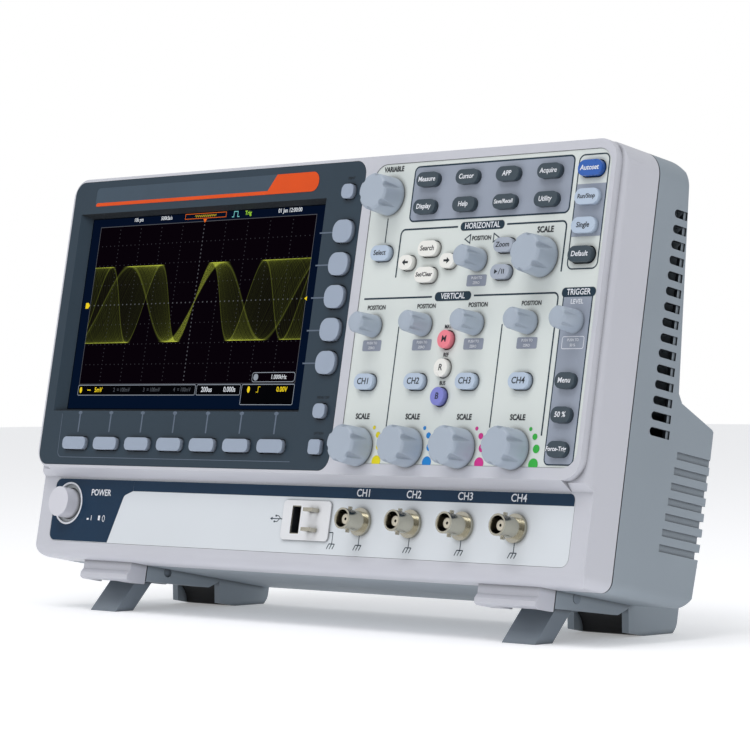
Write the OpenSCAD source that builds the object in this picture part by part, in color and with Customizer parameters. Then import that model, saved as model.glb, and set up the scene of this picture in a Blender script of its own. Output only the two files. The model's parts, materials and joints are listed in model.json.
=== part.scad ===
// Four-channel bench oscilloscope standing on its two fold-out front feet.
// Everything is drawn in the level frame of the case: X to the right, Y from the front plate to the
// back, Z up from the underside. stand() then leans the case back on its feet, so that the finished
// part rests on the plane z = 0. Millimetres.

/* [Case] */
// Overall width of the case
case_w = 380; // [372:1:470]
// Height of the case without its feet
case_h = 198; // [190:1:245]
// Depth from the front plate to the seam between front housing and rear cover
seam_y = 27; // [24:0.5:34]
// Depth of the rear cover at the sides, above the step
upper_back_y = 57; // [54:1:70]
// Depth of the rear cover at the sides, below the step
lower_back_y = 87; // [82:1:105]
// Depth of the rear cover in the middle, where the electronics sit
core_back_y = 112; // [108:1:135]
// Height of the step in the rear cover
step_z = 86; // [80:1:100]
// Wall thickness of the plastic shells
wall = 2.6; // [2:0.1:3.2]
// Corner radius of the case seen from the front
case_r = 12; // [8:1:16]
// Radius of its long lower edges
base_r = 5.5; // [4:0.5:8]

/* [Front plates] */
// How far the body behind the raised front plate is set back
shoulder_y = 4; // [3:0.5:5]
// How far the lower input panel is set back from the raised front plate
lower_y = 8; // [7:0.5:10]
// Height of the lower edge of the raised front plate
plateau_z = 45.5; // [44:0.5:60]
// Width of the screen bezel
bezel_w = 218; // [214:1:230]
// Thickness of the screen bezel
bezel_t = 5; // [4.5:0.5:6]
// Thickness of the control fascia
fascia_t = 2.7; // [2.2:0.1:3.2]
// Width of the visible screen
screen_w = 177; // [170:1:180]
// Height of the visible screen
screen_h = 101; // [96:1:110]
// Width of the sloped frame around the screen
screen_slope = 4.6; // [3:0.2:5]
// Height of the input panel
input_h = 32.6; // [30:0.2:34]

/* [Controls] */
// Distance from one channel to the next
channel_pitch = 32.7; // [27:0.1:34]
// Diameter of the large knobs
big_knob_d = 18.4; // [15:0.1:22.1]
// Diameter of the small knobs
small_knob_d = 10.8; // [9.6:0.1:13]
// How far the knobs stand out from the fascia
knob_len = 12.7; // [11:0.1:16]
// Diameter of the encoder shafts
shaft_d = 6; // [5:0.1:6]
// Radial clearance between a shaft and its bushing
shaft_gap = 0.05; // [0.03:0.01:0.08]
// How far the keys stand out from the fascia
key_out = 2.4; // [2:0.1:3]
// Gap between a key and its hole
key_gap = 0.45; // [0.3:0.05:0.5]
// Travel of the keys
key_travel = 1.2; // [0.8:0.1:1.4]
// Travel of the power button
power_travel = 3; // [2:0.5:4]
// Diameter of the power button
power_d = 15.4; // [12:0.2:17]

/* [Connectors] */
// Outer diameter of a BNC sleeve
bnc_d = 9.7; // [9.5:0.1:10]
// Length of a BNC sleeve in front of its panel
bnc_len = 12.7; // [11:0.1:15]
// Height of the BNC jacks above the underside
bnc_z = 24.5; // [22:0.5:26]

/* [Feet] */
// Distance of the middle of each fold-out foot from the middle of the case
foot_x = 144.4; // [130:0.2:150]
// Width of a fold-out foot
foot_w = 20; // [16:0.5:22]
// Length of a fold-out foot from its pin to its tip
foot_len = 26.5; // [22:0.5:32]
// Thickness of a fold-out foot
foot_t = 8.6; // [7:0.2:9]
// Forward lean of the opened foot from straight down
foot_lean = 32; // [26:1:38]
// Folding travel of the feet
foot_fold = 122; // [110:1:122]
// Diameter of the pins that the feet turn on
foot_pin_d = 5; // [4:0.1:6]
// Height of a rear foot below the case
rear_foot_h = 9.4; // [8:0.2:12]

/* [Cooling] */
// Frame size of the fan
fan_size = 60; // [50:1:64]
// Thickness of the fan
fan_t = 15; // [12:1:18]
// Number of vent slots on each side
vent_count = 15; // [8:1:15]
// Distance between vent slots and between grip grooves
vent_pitch = 7.03; // [6.5:0.01:7.4]

/* [Hidden] */
$fn = 48;

white = [0.90, 0.90, 0.93];
cream = [0.87, 0.89, 0.87];
slate = [0.26, 0.33, 0.38];
grey = [0.55, 0.59, 0.63];
pale_blue = [0.78, 0.84, 0.91];
metal = [0.76, 0.75, 0.70];

half_w = case_w / 2;
big = 2 * (case_w + case_h);          // larger than the part, for half spaces
fit = 0.15;                           // gap around a plate that drops into a pocket
part_gap = 0.5;                       // shadow line between the two halves of the case
front_end_y = seam_y - part_gap / 2;
rear_start_y = seam_y + part_gap / 2;

// Raised front plate, bezel and fascia
plateau_l = -half_w + 1.2;
plateau_r = half_w - 2.6;
bezel_l = plateau_l + 1.2;
bezel_r = bezel_l + bezel_w;
bezel_b = plateau_z + 1.6;
bezel_tz = case_h - 1.6;
fascia_l = bezel_r + 6.4;
fascia_r = plateau_r - 2.6;
fascia_b = plateau_z + 5.5;
fascia_tz = case_h - 4.4;
fascia_y = 0.3;                       // the fascia sits just below the rim around it
ledge = 1.5;                          // seat that the plates rest on
screen_l = bezel_l + 11.3;
screen_b = bezel_b + 29.6;
input_l = -half_w + 10;
input_b = 8.4;
input_tz = input_b + input_h;
input_t = 2;
power_x = input_l + 12.2;
power_z = input_b + 19.6;
terminal_x = bezel_r - 18;            // middle of the USB and probe terminal plate

// Columns and rows of the controls
ch1_x = bezel_r + 18.7;
right_x = fascia_r - 10.3;            // trigger and autoset column
function key_row(i) = case_h - 13.5 - 12.95 * i;
function channel_x(i) = ch1_x + channel_pitch * i;
function_key_x = ch1_x + 25.2;
function_key_pitch = 25.3;
level_z = plateau_z + 70.2;
channel_key_z = plateau_z + 43.7;
scale_z = plateau_z + 13.1;
variable_z = case_h - 20.2;
select_z = case_h - 47.6;
h_mid_z = case_h - 52.7;
h_position_x = ch1_x + 62.4;
h_scale_x = ch1_x + 101.5;
h_left_x = ch1_x + 31;
h_zoom_x = ch1_x + 78.5;
h_row = 6.2;                          // half the spacing of the key pairs beside the knobs
mrb_x = channel_x(1.5);
mrb_pitch = 13.2;
soft_x = bezel_r - 9.3;
soft_row_z = bezel_b + 11;
soft_pitch = 24.75;
side_pitch = 15.9;

key_w = 14;
key_h = 7.2;
channel_key_w = 12.4;
round_key_d = 8.4;
flange = 0.9;
flange_t = 1.2;
// Boards behind the plates, deep enough for the keys to travel
board_y = fascia_y + fascia_t + 6.2;
board_t = 1.6;

// Feet
rail_l = foot_x - 23.4;
rail_r = foot_x + 13.8;
cap_front_y = 16;
pin_y = 41;
pin_z = -1.6;
pin_gap = 0.06;
rear_foot_y0 = 78;
rear_foot_y1 = 112;
tip = [pin_y - foot_len * sin(foot_lean), pin_z - foot_len * cos(foot_lean)];
heel = [rear_foot_y1 - 6, -rear_foot_h];
// Lean of the whole instrument, from the line that joins foot tips and rear feet
tilt = atan((heel[1] - tip[1]) / (heel[0] - tip[0]));
lift = tip[0] * sin(tilt) - tip[1] * cos(tilt);

// Fan and rear panel
fan_x = -45;
fan_z = 118;
core_w = 300;
core_top_w = 210;
core_top_z = 166;
core_slope = 10;
inlet_x = -112;
inlet_z = 42;

// Frontmost point, a scale knob, and rearmost point, the top edge of the rear panel, once it leans
front_reach = (scale_z - big_knob_d / 2) * sin(tilt) - knob_len * cos(tilt);
back_reach = core_back_y * cos(tilt) + (core_top_z - core_slope) * sin(tilt);
middle_y = (front_reach + back_reach) / 2;

// ---------------------------------------------------------------- helpers
// Leans the case back on its feet, with the origin on the ground below the middle of the part
module stand() {
    translate([0, -middle_y, lift]) rotate([-tilt, 0, 0]) children();
}

// Keeps what is above the surface the part stands on
module above_ground() {
    difference() {
        children();
        translate([-big, -big, -big]) cube([2 * big, 2 * big, big]);
    }
}

// Rectangle with round corners between two corner points
module rrect(x0, x1, z0, z1, r) {
    translate([x0, z0 + r]) square([x1 - x0, z1 - z0 - 2 * r]);
    translate([x0 + r, z0]) square([x1 - x0 - 2 * r, z1 - z0]);
    for (x = [x0 + r, x1 - r], z = [z0 + r, z1 - r]) translate([x, z]) circle(r);
}

// Front view of the whole case, w inside its outer faces
module case_outline(w = 0) {
    top_r = case_r - w;
    low_r = base_r - w;
    translate([-half_w + w, w + low_r]) square([case_w - 2 * w, case_h - 2 * w - top_r - low_r]);
    translate([-half_w + w + low_r, w]) square([case_w - 2 * (w + low_r), low_r + 1]);
    translate([-half_w + w + top_r, case_h - w - top_r - 1]) square([case_w - 2 * (w + top_r), top_r + 1]);
    for (x = [-1, 1]) {
        translate([x * (half_w - w - low_r), w + low_r]) circle(low_r);
        translate([x * (half_w - w - top_r), case_h - w - top_r]) circle(top_r);
    }
}

// Rectangle with round corners around a middle
module pill(w, h, r) {
    rrect(-w / 2, w / 2, -h / 2, h / 2, r);
}

// Front view outline pushed from y0 back to y1
module slab(y0, y1) {
    translate([0, y1, 0]) rotate([90, 0, 0]) linear_extrude(y1 - y0) children();
}

// Side view outline (y, z) carried from x0 to x1
module side_slab(x0, x1) {
    translate([x0, 0, 0]) rotate([90, 0, 90]) linear_extrude(x1 - x0) children();
}

// Plan view outline (x, y) carried over the full height
module plan_slab(z0, z1) {
    translate([0, 0, z0]) linear_extrude(z1 - z0) children();
}

// Puts a thing that is drawn along +Z onto the front, pointing out of it
module on_front(x, z) {
    translate([x, 0, z]) rotate([90, 0, 0]) children();
}

// Puts a thing that is drawn along +Z onto the back, pointing out of it
module on_back(x, z, y) {
    translate([x, y, z]) rotate([-90, 0, 0]) children();
}

// ---------------------------------------------------------------- case
// Side view of the front housing, w inside its outer faces
module front_profile(w = 0) {
    low = 7 - w / 2;
    polygon([[shoulder_y + w, plateau_z - 0.5], [shoulder_y + w, case_h - 3], [shoulder_y + 3, case_h - w],
        [seam_y + 10, case_h - w], [seam_y + 10, w], [lower_y + low + w, w], [lower_y + w, low + w],
        [lower_y + w, input_tz + 0.6]]);
    translate([lower_y + low + w, low + w]) circle(low);
    if (w == 0) translate([shoulder_y + 3, case_h - 3]) circle(3);
}

module front_outer() {
    intersection() {
        slab(0, front_end_y) case_outline();
        side_slab(-half_w, half_w) front_profile();
        plan_slab(-1, case_h + 1) union() {
            translate([-half_w + 3.5, shoulder_y - 1]) square([case_w - 7, seam_y]);
            translate([-half_w, shoulder_y + 3.5]) square([case_w, seam_y]);
            for (x = [-half_w + 3.5, half_w - 3.5]) translate([x, shoulder_y + 3.5]) circle(3.5);
        }
    }
    // raised plate and the sloping face under it
    slab(0, shoulder_y + 1) rrect(plateau_l, plateau_r, plateau_z, case_h, case_r - 2);
    side_slab(plateau_l + case_r - 2, plateau_r - case_r + 2) polygon([[0, plateau_z], [lower_y + 1, input_tz],
        [lower_y + 1, plateau_z + 5], [0, plateau_z + 5]]);
}

// Posts in the front housing that the long case screws run into
screw_r = 1.5;
screw_x = half_w - 20;
screw_low_z = 12;
screw_high_z = case_h - 8.5;
module at_screws() {
    for (x = [-screw_x, screw_x], z = [screw_low_z, screw_high_z]) translate([x, 0, z]) children();
}

module front_housing() color(white) stand() {
    difference() {
        union() {
            difference() {
                front_outer();
                // inside
                difference() {
                    intersection() {
                        slab(0, seam_y + 5) case_outline(wall);
                        side_slab(-half_w, half_w) front_profile(wall);
                    }
                    // shelf behind the input panel
                    slab(0, lower_y + wall + 1) rrect(-half_w, half_w, 0, input_tz + 3, 2);
                }
            }
            // posts for the case screws, each on a rib to the nearest long wall
            at_screws() translate([0, front_end_y, 0]) rotate([90, 0, 0])
                cylinder(h = front_end_y - lower_y - 4.5, r = 4.5);
            for (x = [-screw_x, screw_x]) {
                translate([x - 1.2, lower_y + 4.5, 1]) cube([2.4, front_end_y - lower_y - 4.5, screw_low_z - 4]);
                translate([x - 1.2, lower_y + 4.5, screw_high_z + 3])
                    cube([2.4, front_end_y - lower_y - 4.5, case_h - screw_high_z - 4]);
            }
            // stepped cover in front of each fold-out foot
            for (s = [0, 1]) mirror([s, 0, 0]) foot_cap();
        }
        // seats and openings of the bezel, the fascia and the input panel
        slab(-1, bezel_t) rrect(bezel_l - fit, bezel_r + fit, bezel_b - fit, bezel_tz + fit, 7);
        slab(-1, lower_y + 4) rrect(bezel_l + ledge, bezel_r - ledge, bezel_b + ledge, bezel_tz - ledge, 5);
        slab(-1, fascia_y + fascia_t) rrect(fascia_l - fit, fascia_r + fit, fascia_b - fit, fascia_tz + fit, 8);
        slab(-1, lower_y + 4) rrect(fascia_l + ledge, fascia_r - ledge, fascia_b + ledge, fascia_tz - ledge, 6);
        slab(0, lower_y + input_t) rrect(input_l - fit, -input_l + fit, input_b - fit, input_tz + fit, 4.5);
        slab(0, lower_y + 4) rrect(input_l + ledge, -input_l - ledge, input_b + ledge, input_tz - ledge, 3);
        // pilot holes
        at_screws() translate([0, seam_y + 1, 0]) rotate([90, 0, 0]) cylinder(h = 12, r = screw_r + 0.05);
    }
}

// Stepped white block under the front edge, one side
module foot_cap() {
    difference() {
        side_slab(rail_l, rail_r) polygon([[cap_front_y, wall], [cap_front_y, -4.2], [cap_front_y - 1.6, -6.4],
            [cap_front_y - 1.6, -8.6], [cap_front_y, -9.6], [front_end_y, -9.6], [front_end_y, wall]]);
        // room for the foot
        side_slab(foot_x - foot_w / 2 - 1, foot_x + foot_w / 2 + 1) polygon([[cap_front_y + 2.4, -11],
            [cap_front_y + 2.4, -2.5], [front_end_y + 1, 1.2], [front_end_y + 1, -11]]);
    }
}

module screen_bezel() color(slate) stand() difference() {
    slab(0, bezel_t) rrect(bezel_l, bezel_r, bezel_b, bezel_tz, 6.8);
    // sloped opening around the screen
    intersection() {
        plan_slab(0, case_h) polygon([[screen_l - screen_slope, -0.01], [screen_l + screen_w + screen_slope, -0.01],
            [screen_l + screen_w, bezel_t + 0.01], [screen_l, bezel_t + 0.01]]);
        side_slab(-half_w, half_w) polygon([[-0.01, screen_b - 1.6], [-0.01, screen_b + screen_h + 1.6],
            [bezel_t + 0.01, screen_b + screen_h], [bezel_t + 0.01, screen_b]]);
    }
    // holes for the soft keys and the three small keys
    slab(-1, bezel_t + 1) {
        bottom_keys() pill(18 + 2 * key_gap, 6.4 + 2 * key_gap, 2.6);
        side_keys() pill(13 + 2 * key_gap, 11 + 2 * key_gap, 4.9);
        translate([soft_x, hardcopy_z]) pill(8 + 2 * key_gap, 7 + 2 * key_gap, 3);
        translate([soft_x, menu_off_z]) pill(8 + 2 * key_gap, 7 + 2 * key_gap, 3);
        translate([soft_x, soft_row_z]) pill(8 + 2 * key_gap, 7 + 2 * key_gap, 2);
    }
    // pockets for the key flanges
    slab(bezel_t - 2.5, bezel_t + 1) {
        bottom_keys() pill(21.5, 10, 3);
        side_keys() pill(16, 14, 4);
        for (z = [hardcopy_z, menu_off_z, soft_row_z]) translate([soft_x, z]) pill(11, 10.2, 3);
    }
}

hardcopy_z = bezel_tz - 14.8;
menu_off_z = soft_row_z + 17.2;
module bottom_keys() {
    for (i = [0:6]) translate([screen_l + 17.9 + soft_pitch * i, soft_row_z]) children();
}
module side_keys() {
    for (i = [0:4]) translate([soft_x, screen_b + screen_h - 15.6 - side_pitch * i]) children();
}

// Where the knobs go: [x, z, diameter]
knobs = concat([[ch1_x, variable_z, big_knob_d], [h_position_x, h_mid_z, small_knob_d],
    [h_scale_x, h_mid_z, big_knob_d], [right_x, level_z, small_knob_d]],
    [for (i = [0:3]) [channel_x(i), level_z, small_knob_d]],
    [for (i = [0:3]) [channel_x(i), scale_z, big_knob_d]]);

// Where the fascia keys go: [x, z, width, height]
keys = concat(
    [[ch1_x, select_z, channel_key_w, key_h],
     [h_left_x, h_mid_z + h_row, channel_key_w, key_h], [h_left_x, h_mid_z - h_row, channel_key_w, key_h],
     [h_left_x - 13.3, h_mid_z, 9, key_h - 0.4], [h_left_x + 13.3, h_mid_z, 9, key_h - 0.4],
     [h_zoom_x, h_mid_z + h_row, 11.4, key_h - 0.6], [h_zoom_x, h_mid_z - h_row, 11.4, key_h - 0.6]],
    [for (i = [0:3]) [right_x, key_row(i), key_w, key_h]],
    [for (i = [0:2]) [mrb_x, channel_key_z + 19.4 - mrb_pitch * i, round_key_d, round_key_d]],
    [for (i = [0:3]) [channel_x(i), channel_key_z, channel_key_w, key_h + 0.2]],
    [for (i = [0:2]) [right_x, channel_key_z - 15.2 * i, 11.4, key_h]]);
function_keys_at = [for (r = [0, 1], i = [0:3]) [function_key_x + function_key_pitch * i, key_row(r), key_w, 6.8]];

module at_key(k) {
    translate([k[0], k[1]]) children();
}

// Outline of a key, grown by g
module key_outline(k, g = 0) {
    pill(k[2] + 2 * g, k[3] + 2 * g, min(k[2], k[3]) / 2 + g - 0.01);
}

module control_fascia() color(cream) stand() difference() {
    slab(fascia_y, fascia_y + fascia_t) rrect(fascia_l, fascia_r, fascia_b, fascia_tz, 7.8);
    slab(-1, fascia_y + fascia_t + 1) {
        for (k = concat(keys, function_keys_at)) at_key(k) key_outline(k, key_gap);
        for (k = knobs) at_key(k) circle(shaft_d / 2 + 1.2);
    }
}

module input_fascia() color([0.87, 0.89, 0.91]) stand() difference() {
    slab(lower_y, lower_y + input_t) rrect(input_l, -input_l, input_b, input_tz, 4.3);
    slab(0, lower_y + 1.2) translate([power_x, power_z]) circle(power_d / 2 + 2.3);
    slab(0, lower_y + input_t + 1) {
        translate([power_x, power_z]) circle(power_d / 2 + 0.4);
        translate([terminal_x, bnc_z - 0.4]) pill(31.6, 17.6, 1.4);
        for (i = [0:3]) translate([channel_x(i), bnc_z]) circle(bnc_d / 2 + 0.3);
    }
}

// Side view of the rear cover, w inside its outer faces
module rear_profile(w = 0) {
    polygon([[rear_start_y - w, w], [rear_start_y - w, case_h - w], [upper_back_y - 15 - w, case_h - w],
        [upper_back_y - 10 - w, case_h - 5 - w / 2], [upper_back_y - w, step_z + 8 - w / 2],
        [upper_back_y + 3 - w, step_z + 4 - w], [lower_back_y - 4 - w, step_z - 4 - w],
        [lower_back_y - w, step_z - 8 - w / 2], [lower_back_y - 5 - w, 5 + w], [lower_back_y - 9 - w, w]]);
}

// Side view of the raised middle of the rear cover
module core_profile(w = 0, top_z = core_top_z) {
    polygon([[seam_y + 10, w], [seam_y + 10, top_z - w], [core_back_y - core_slope - w, top_z - w],
        [core_back_y - w, top_z - core_slope - w / 2], [core_back_y - w, 5 + w], [core_back_y - 4 - w, w]]);
}

module rear_outer(w = 0) {
    intersection() {
        side_slab(-half_w + w, half_w - w) rear_profile(w);
        // long edges of the case
        slab(rear_start_y - wall - 1, core_back_y + 1) case_outline(w);
        // softened corner between side and back
        plan_slab(-1, case_h + 1) polygon([[-half_w + w, 0], [half_w - w, 0], [half_w - w, lower_back_y - 3 - w],
            [half_w - 3 - w, lower_back_y - w], [-half_w + 3 + w, lower_back_y - w],
            [-half_w + w, lower_back_y - 3 - w]]);
    }
    side_slab(-core_w / 2 + w, core_w / 2 - w) core_profile(w, step_z);
    intersection() {
        side_slab(-core_top_w / 2 + w, core_top_w / 2 - w) core_profile(w);
        plan_slab(0, case_h) polygon([[-core_top_w / 2 + w, 0], [core_top_w / 2 - w, 0],
            [core_top_w / 2 - w, core_back_y - core_slope - w], [core_top_w / 2 - core_slope - w, core_back_y - w],
            [-core_top_w / 2 + core_slope + w, core_back_y - w], [-core_top_w / 2 + w, core_back_y - core_slope - w]]);
    }
}

vent_front_y = 40;
vent_h = 3.8;
vent_low_z = case_h - 123.6;
groove_h = 3.4;
groove_low_z = step_z - 61.6;

// Cuts on the right side: vent slots that end just short of the back, and grip grooves below them
module side_cuts() {
    for (i = [0:vent_count - 1]) translate([half_w - wall - 2, 0, vent_low_z + vent_pitch * i]) {
        end_y = upper_back_y - 5 - 5 * i / (vent_count - 1);
        translate([0, vent_front_y + vent_h / 2, 0]) rotate([0, 90, 0]) cylinder(h = 9, d = vent_h);
        translate([0, vent_front_y + vent_h / 2, -vent_h / 2]) cube([9, end_y - vent_front_y - vent_h / 2, vent_h]);
        // shallow run-out behind the slot
        translate([wall + 1.2, end_y - 0.1, -vent_h / 2]) cube([5, 1.9, vent_h]);
    }
    for (i = [0:6]) {
        z = groove_low_z + vent_pitch * i;
        translate([half_w - 1.3, lower_back_y - 31.5 + 0.85 * i, z - groove_h / 2]) cube([5, 60, groove_h]);
        // notch in the back edge
        translate([half_w - 12, lower_back_y - 5 * (step_z - 8 - z) / (step_z - 13) - 1.3, z - groove_h / 2])
            cube([20, 20, groove_h]);
    }
}

module fan_grille() {
    // rings of the fan grille, cut by four spokes
    on_back(fan_x, fan_z, core_back_y - wall - 1) difference() {
        for (r = [8, 14, 20, 26]) difference() {
            cylinder(h = wall + 3, r = r + 3.2);
            translate([0, 0, -1]) cylinder(h = wall + 5, r = r);
        }
        for (a = [45, 135]) rotate(a) translate([-40, -1.4, -1]) cube([80, 2.8, wall + 5]);
    }
}

module rear_cover() color(grey) above_ground() stand() difference() {
    union() {
        difference() {
            rear_outer();
            rear_outer(wall);
            translate([-big, 0, 0]) cube([2 * big, rear_start_y, big]);
        }
        // screw posts
        intersection() {
            at_screws() translate([0, rear_start_y, 0]) rotate([-90, 0, 0]) cylinder(h = 80, r = 5);
            rear_outer();
        }
        // rails and rear feet under the case, and the roof over each folded foot
        for (s = [0, 1]) mirror([s, 0, 0]) {
            foot_rail();
            translate([foot_x - well_w / 2 - wall, rear_start_y, 1])
                cube([well_w + 2 * wall, well_end_y + wall - rear_start_y, well_roof_z + wall - 1]);
        }
    }
    for (s = [0, 1]) mirror([s, 0, 0]) {
        side_cuts();
        foot_well();
    }
    fan_grille();
    // screw holes and sunk heads
    for (x = [-screw_x, screw_x]) {
        translate([x, 0, screw_low_z]) rotate([-90, 0, 0]) cylinder(h = 200, r = screw_r + 0.3);
        translate([x, lower_back_y - 15, screw_low_z]) rotate([-90, 0, 0]) cylinder(h = 100, r = 3.6);
        translate([x, 0, screw_high_z]) rotate([-90, 0, 0]) cylinder(h = 200, r = screw_r + 0.3);
        translate([x, upper_back_y - 19, screw_high_z]) rotate([-90, 0, 0]) cylinder(h = 100, r = 3.6);
    }
    // openings of the rear panel
    slab(core_back_y - wall - 1, core_back_y + 1) {
        translate([inlet_x, inlet_z]) pill(27.6, 20.6, 2);
        translate([lan_x, inlet_z]) pill(16.6, 14.2, 0.6);
        translate([usb_x, inlet_z]) pill(12.8, 11.8, 0.6);
        translate([trig_x, inlet_z]) circle(5.3);
    }
}

// Rail beside the fold-out foot and the foot at the back, right side
module foot_rail() {
    side_slab(rail_l, rail_r) polygon([[rear_start_y, wall], [rear_start_y, -8], [70, -5.4], [76, -2],
        [rear_foot_y0 + 2, wall]]);
    difference() {
        side_slab(rail_l, rail_r) union() {
            polygon([[rear_foot_y0 - 2, wall], [rear_foot_y0 + 1, -rear_foot_h - 3],
                [rear_foot_y1 - 8, -rear_foot_h - 3], [rear_foot_y1, -3], [rear_foot_y1, 4], [rear_foot_y0, 8]]);
            translate([rear_foot_y1 - 8, -3]) circle(8);
        }
        rubber_seat(0);
    }
}

// Curved pocket at the front of a rear foot, filled by the rubber pad
module rubber_seat(g) {
    translate([rail_l + 4 + g, rear_foot_y0 - 3, -rear_foot_h - 4.5 - 0.3])
        rotate([0, 90, 0]) cylinder(h = rail_r - rail_l - 8 - 2 * g, r = 15 - g);
}

// Room for the fold-out foot, its pin and its swing
well_w = foot_w + 1.6;
well_end_y = pin_y + foot_len + foot_t / 2 * tan(foot_lean + tilt) + 1;
well_roof_z = pin_z + foot_t / 2 + 0.8;
module foot_well() {
    translate([foot_x - well_w / 2, rear_start_y - 1, -30]) cube([well_w, well_end_y - rear_start_y + 1, 30 + well_roof_z]);
    translate([rail_l - 0.1, pin_y, pin_z]) rotate([0, 90, 0])
        cylinder(h = rail_r - rail_l + 0.6, r = foot_pin_d / 2 + pin_gap);
}

module screen_window() color([0.08, 0.10, 0.13]) stand()
    slab(bezel_t, bezel_t + 1.4) rrect(screen_l - 4, screen_l + screen_w + 4, screen_b - 4, screen_b + screen_h + 4, 2);

module lcd_module() color([0.5, 0.52, 0.55]) stand() {
    slab(bezel_t + 1.4, bezel_t + 9) rrect(screen_l - 7, screen_l + screen_w + 7, screen_b - 7, screen_b + screen_h + 7, 2);
}

// Encoder with its threaded bushing, drawn around a knob axis
module encoder(k) {
    on_front(k[0], k[1]) difference() {
        union() {
            translate([0, 0, -board_y]) cylinder(h = board_y - fascia_y - fascia_t - 0.4, r = shaft_d / 2 + 1.6);
                translate([-5.8, -5.8, -board_y]) cube([11.6, 11.6, 3]);
        }
        translate([0, 0, -board_y - 1]) cylinder(h = board_y + 1, r = shaft_d / 2 + shaft_gap);
    }
}

// Push switch under a key, h high
module push_switch(h = 1.2) {
    translate([-3, -3, -board_y]) cube([6, 6, h]);
}

lcd_r = screen_l + screen_w + 8;
lcd_b = screen_b - 8;
module front_board() color([0.10, 0.35, 0.18]) stand() {
    difference() {
        slab(board_y, board_y + board_t) union() {
            translate([lcd_r, fascia_b]) square([fascia_r - lcd_r, fascia_tz - fascia_b - 2]);
            translate([bezel_l + 3.5, fascia_b]) square([fascia_r - bezel_l - 3.5, lcd_b - fascia_b]);
        }
        slab(board_y - 1, board_y + board_t + 1) for (k = knobs) at_key(k) circle(shaft_d / 2 + shaft_gap);
    }
    for (k = knobs) encoder(k);
    for (k = concat(keys, function_keys_at)) on_front(k[0], k[1]) push_switch();
    bezel_switch_h = board_y - bezel_t - 0.3 - key_travel - 0.2;
    rotate([90, 0, 0]) {
        bottom_keys() push_switch(bezel_switch_h);
        side_keys() push_switch(bezel_switch_h);
        for (z = [hardcopy_z, menu_off_z, soft_row_z]) translate([soft_x, z]) push_switch(bezel_switch_h);
    }
}

module main_board() color([0.10, 0.38, 0.20]) stand() {
    translate([-150, 40, 52]) cube([300, board_t, 126]);
    // signal chips with heat sinks, one per channel, and the processor
    for (i = [0:3]) translate([-8 + 34 * i, 40 - 5, 66]) cube([20, 5, 20]);
    translate([-120, 40 - 4, 96]) cube([34, 4, 34]);
    translate([-60, 40 - 2, 100]) cube([14, 2, 22]);
    translate([-36, 40 - 2, 100]) cube([14, 2, 22]);
    // input stages behind the jacks
    for (i = [0:3]) translate([channel_x(i) - 11, 36.4, 52]) cube([22, 3.6, 12]);
}

module shield_chassis() color([0.72, 0.74, 0.76]) stand() {
    // folded tray that carries the main board
    difference() {
        translate([-156, 43, 46]) cube([312, 1.2, 136]);
        for (x = [-100, 0, 100]) translate([x - 14, 42, 150]) cube([28, 4, 16]);
    }
    for (z = [46, 180.8]) translate([-156, 33, z]) cube([312, 11.2, 1.2]);
    // spacers under the board
    for (x = [-140, 0, 140], z = [56, 172]) translate([x, 43, z]) rotate([90, 0, 0]) cylinder(h = 43 - 40 - board_t, r = 3);
    // angled feet that stand on the floor of the rear cover
    for (x = [-120, 60]) translate([x, 43, wall]) cube([40, 1.2, 44]);
}

module power_supply() color([0.80, 0.80, 0.78]) stand() translate([18, 0, 0]) {
    difference() {
        translate([-138, 58, wall]) cube([84, 34, 66]);
        translate([-136, 56, wall + 2]) cube([80, 34, 62]);
    }
    // board with its transformer and two capacitors
    translate([-136, 62, wall + 8]) cube([80, 1.6, 50]);
    translate([-126, 63.6, wall + 14]) cube([24, 22, 26]);
    for (x = [-90, -74]) translate([x, 62, wall + 30]) rotate([-90, 0, 0]) cylinder(h = 24, r = 6);
}

module fan_frame() color([0.13, 0.13, 0.14]) stand() on_back(fan_x, fan_z, core_back_y - wall - fan_t) {
    difference() {
        linear_extrude(fan_t) pill(fan_size, fan_size, 4);
        translate([0, 0, -1]) cylinder(h = fan_t + 2, d = fan_size - 3);
        for (x = [-1, 1], y = [-1, 1]) translate([x * (fan_size / 2 - 5), y * (fan_size / 2 - 5), -1])
            cylinder(h = fan_t + 2, r = 2);
    }
    // hub that carries the rotor, on three struts
    difference() {
        union() {
            cylinder(h = 2, r = 12);
            for (a = [0, 120, 240]) rotate(a) translate([0, -1.5, 0]) cube([fan_size / 2 - 0.8, 3, 2]);
            cylinder(h = fan_t - 4, r = 4);
        }
        translate([0, 0, -1]) cylinder(h = fan_t + 2, r = 1.5 + shaft_gap);
    }
}

module fan_rotor() color([0.18, 0.18, 0.19]) stand() on_back(fan_x, fan_z, core_back_y - wall - fan_t) {
    rotor_r = fan_size / 2 - 2.6;
    difference() {
        translate([0, 0, 3]) cylinder(h = fan_t - 4, r = 11.5);
        translate([0, 0, 2]) cylinder(h = fan_t - 4.5, r = 10);
    }
    translate([0, 0, 0.5]) cylinder(h = fan_t - 2, r = 1.5);
    intersection() {
        translate([0, 0, 2.8]) cylinder(h = fan_t - 4, r = rotor_r);
        for (a = [0:6]) rotate(a * 360 / 7) translate([10.5, 0, fan_t / 2]) rotate([38, 0, 0])
            translate([0, -0.7, -9]) cube([rotor_r - 9, 1.4, 18]);
    }
}

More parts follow.
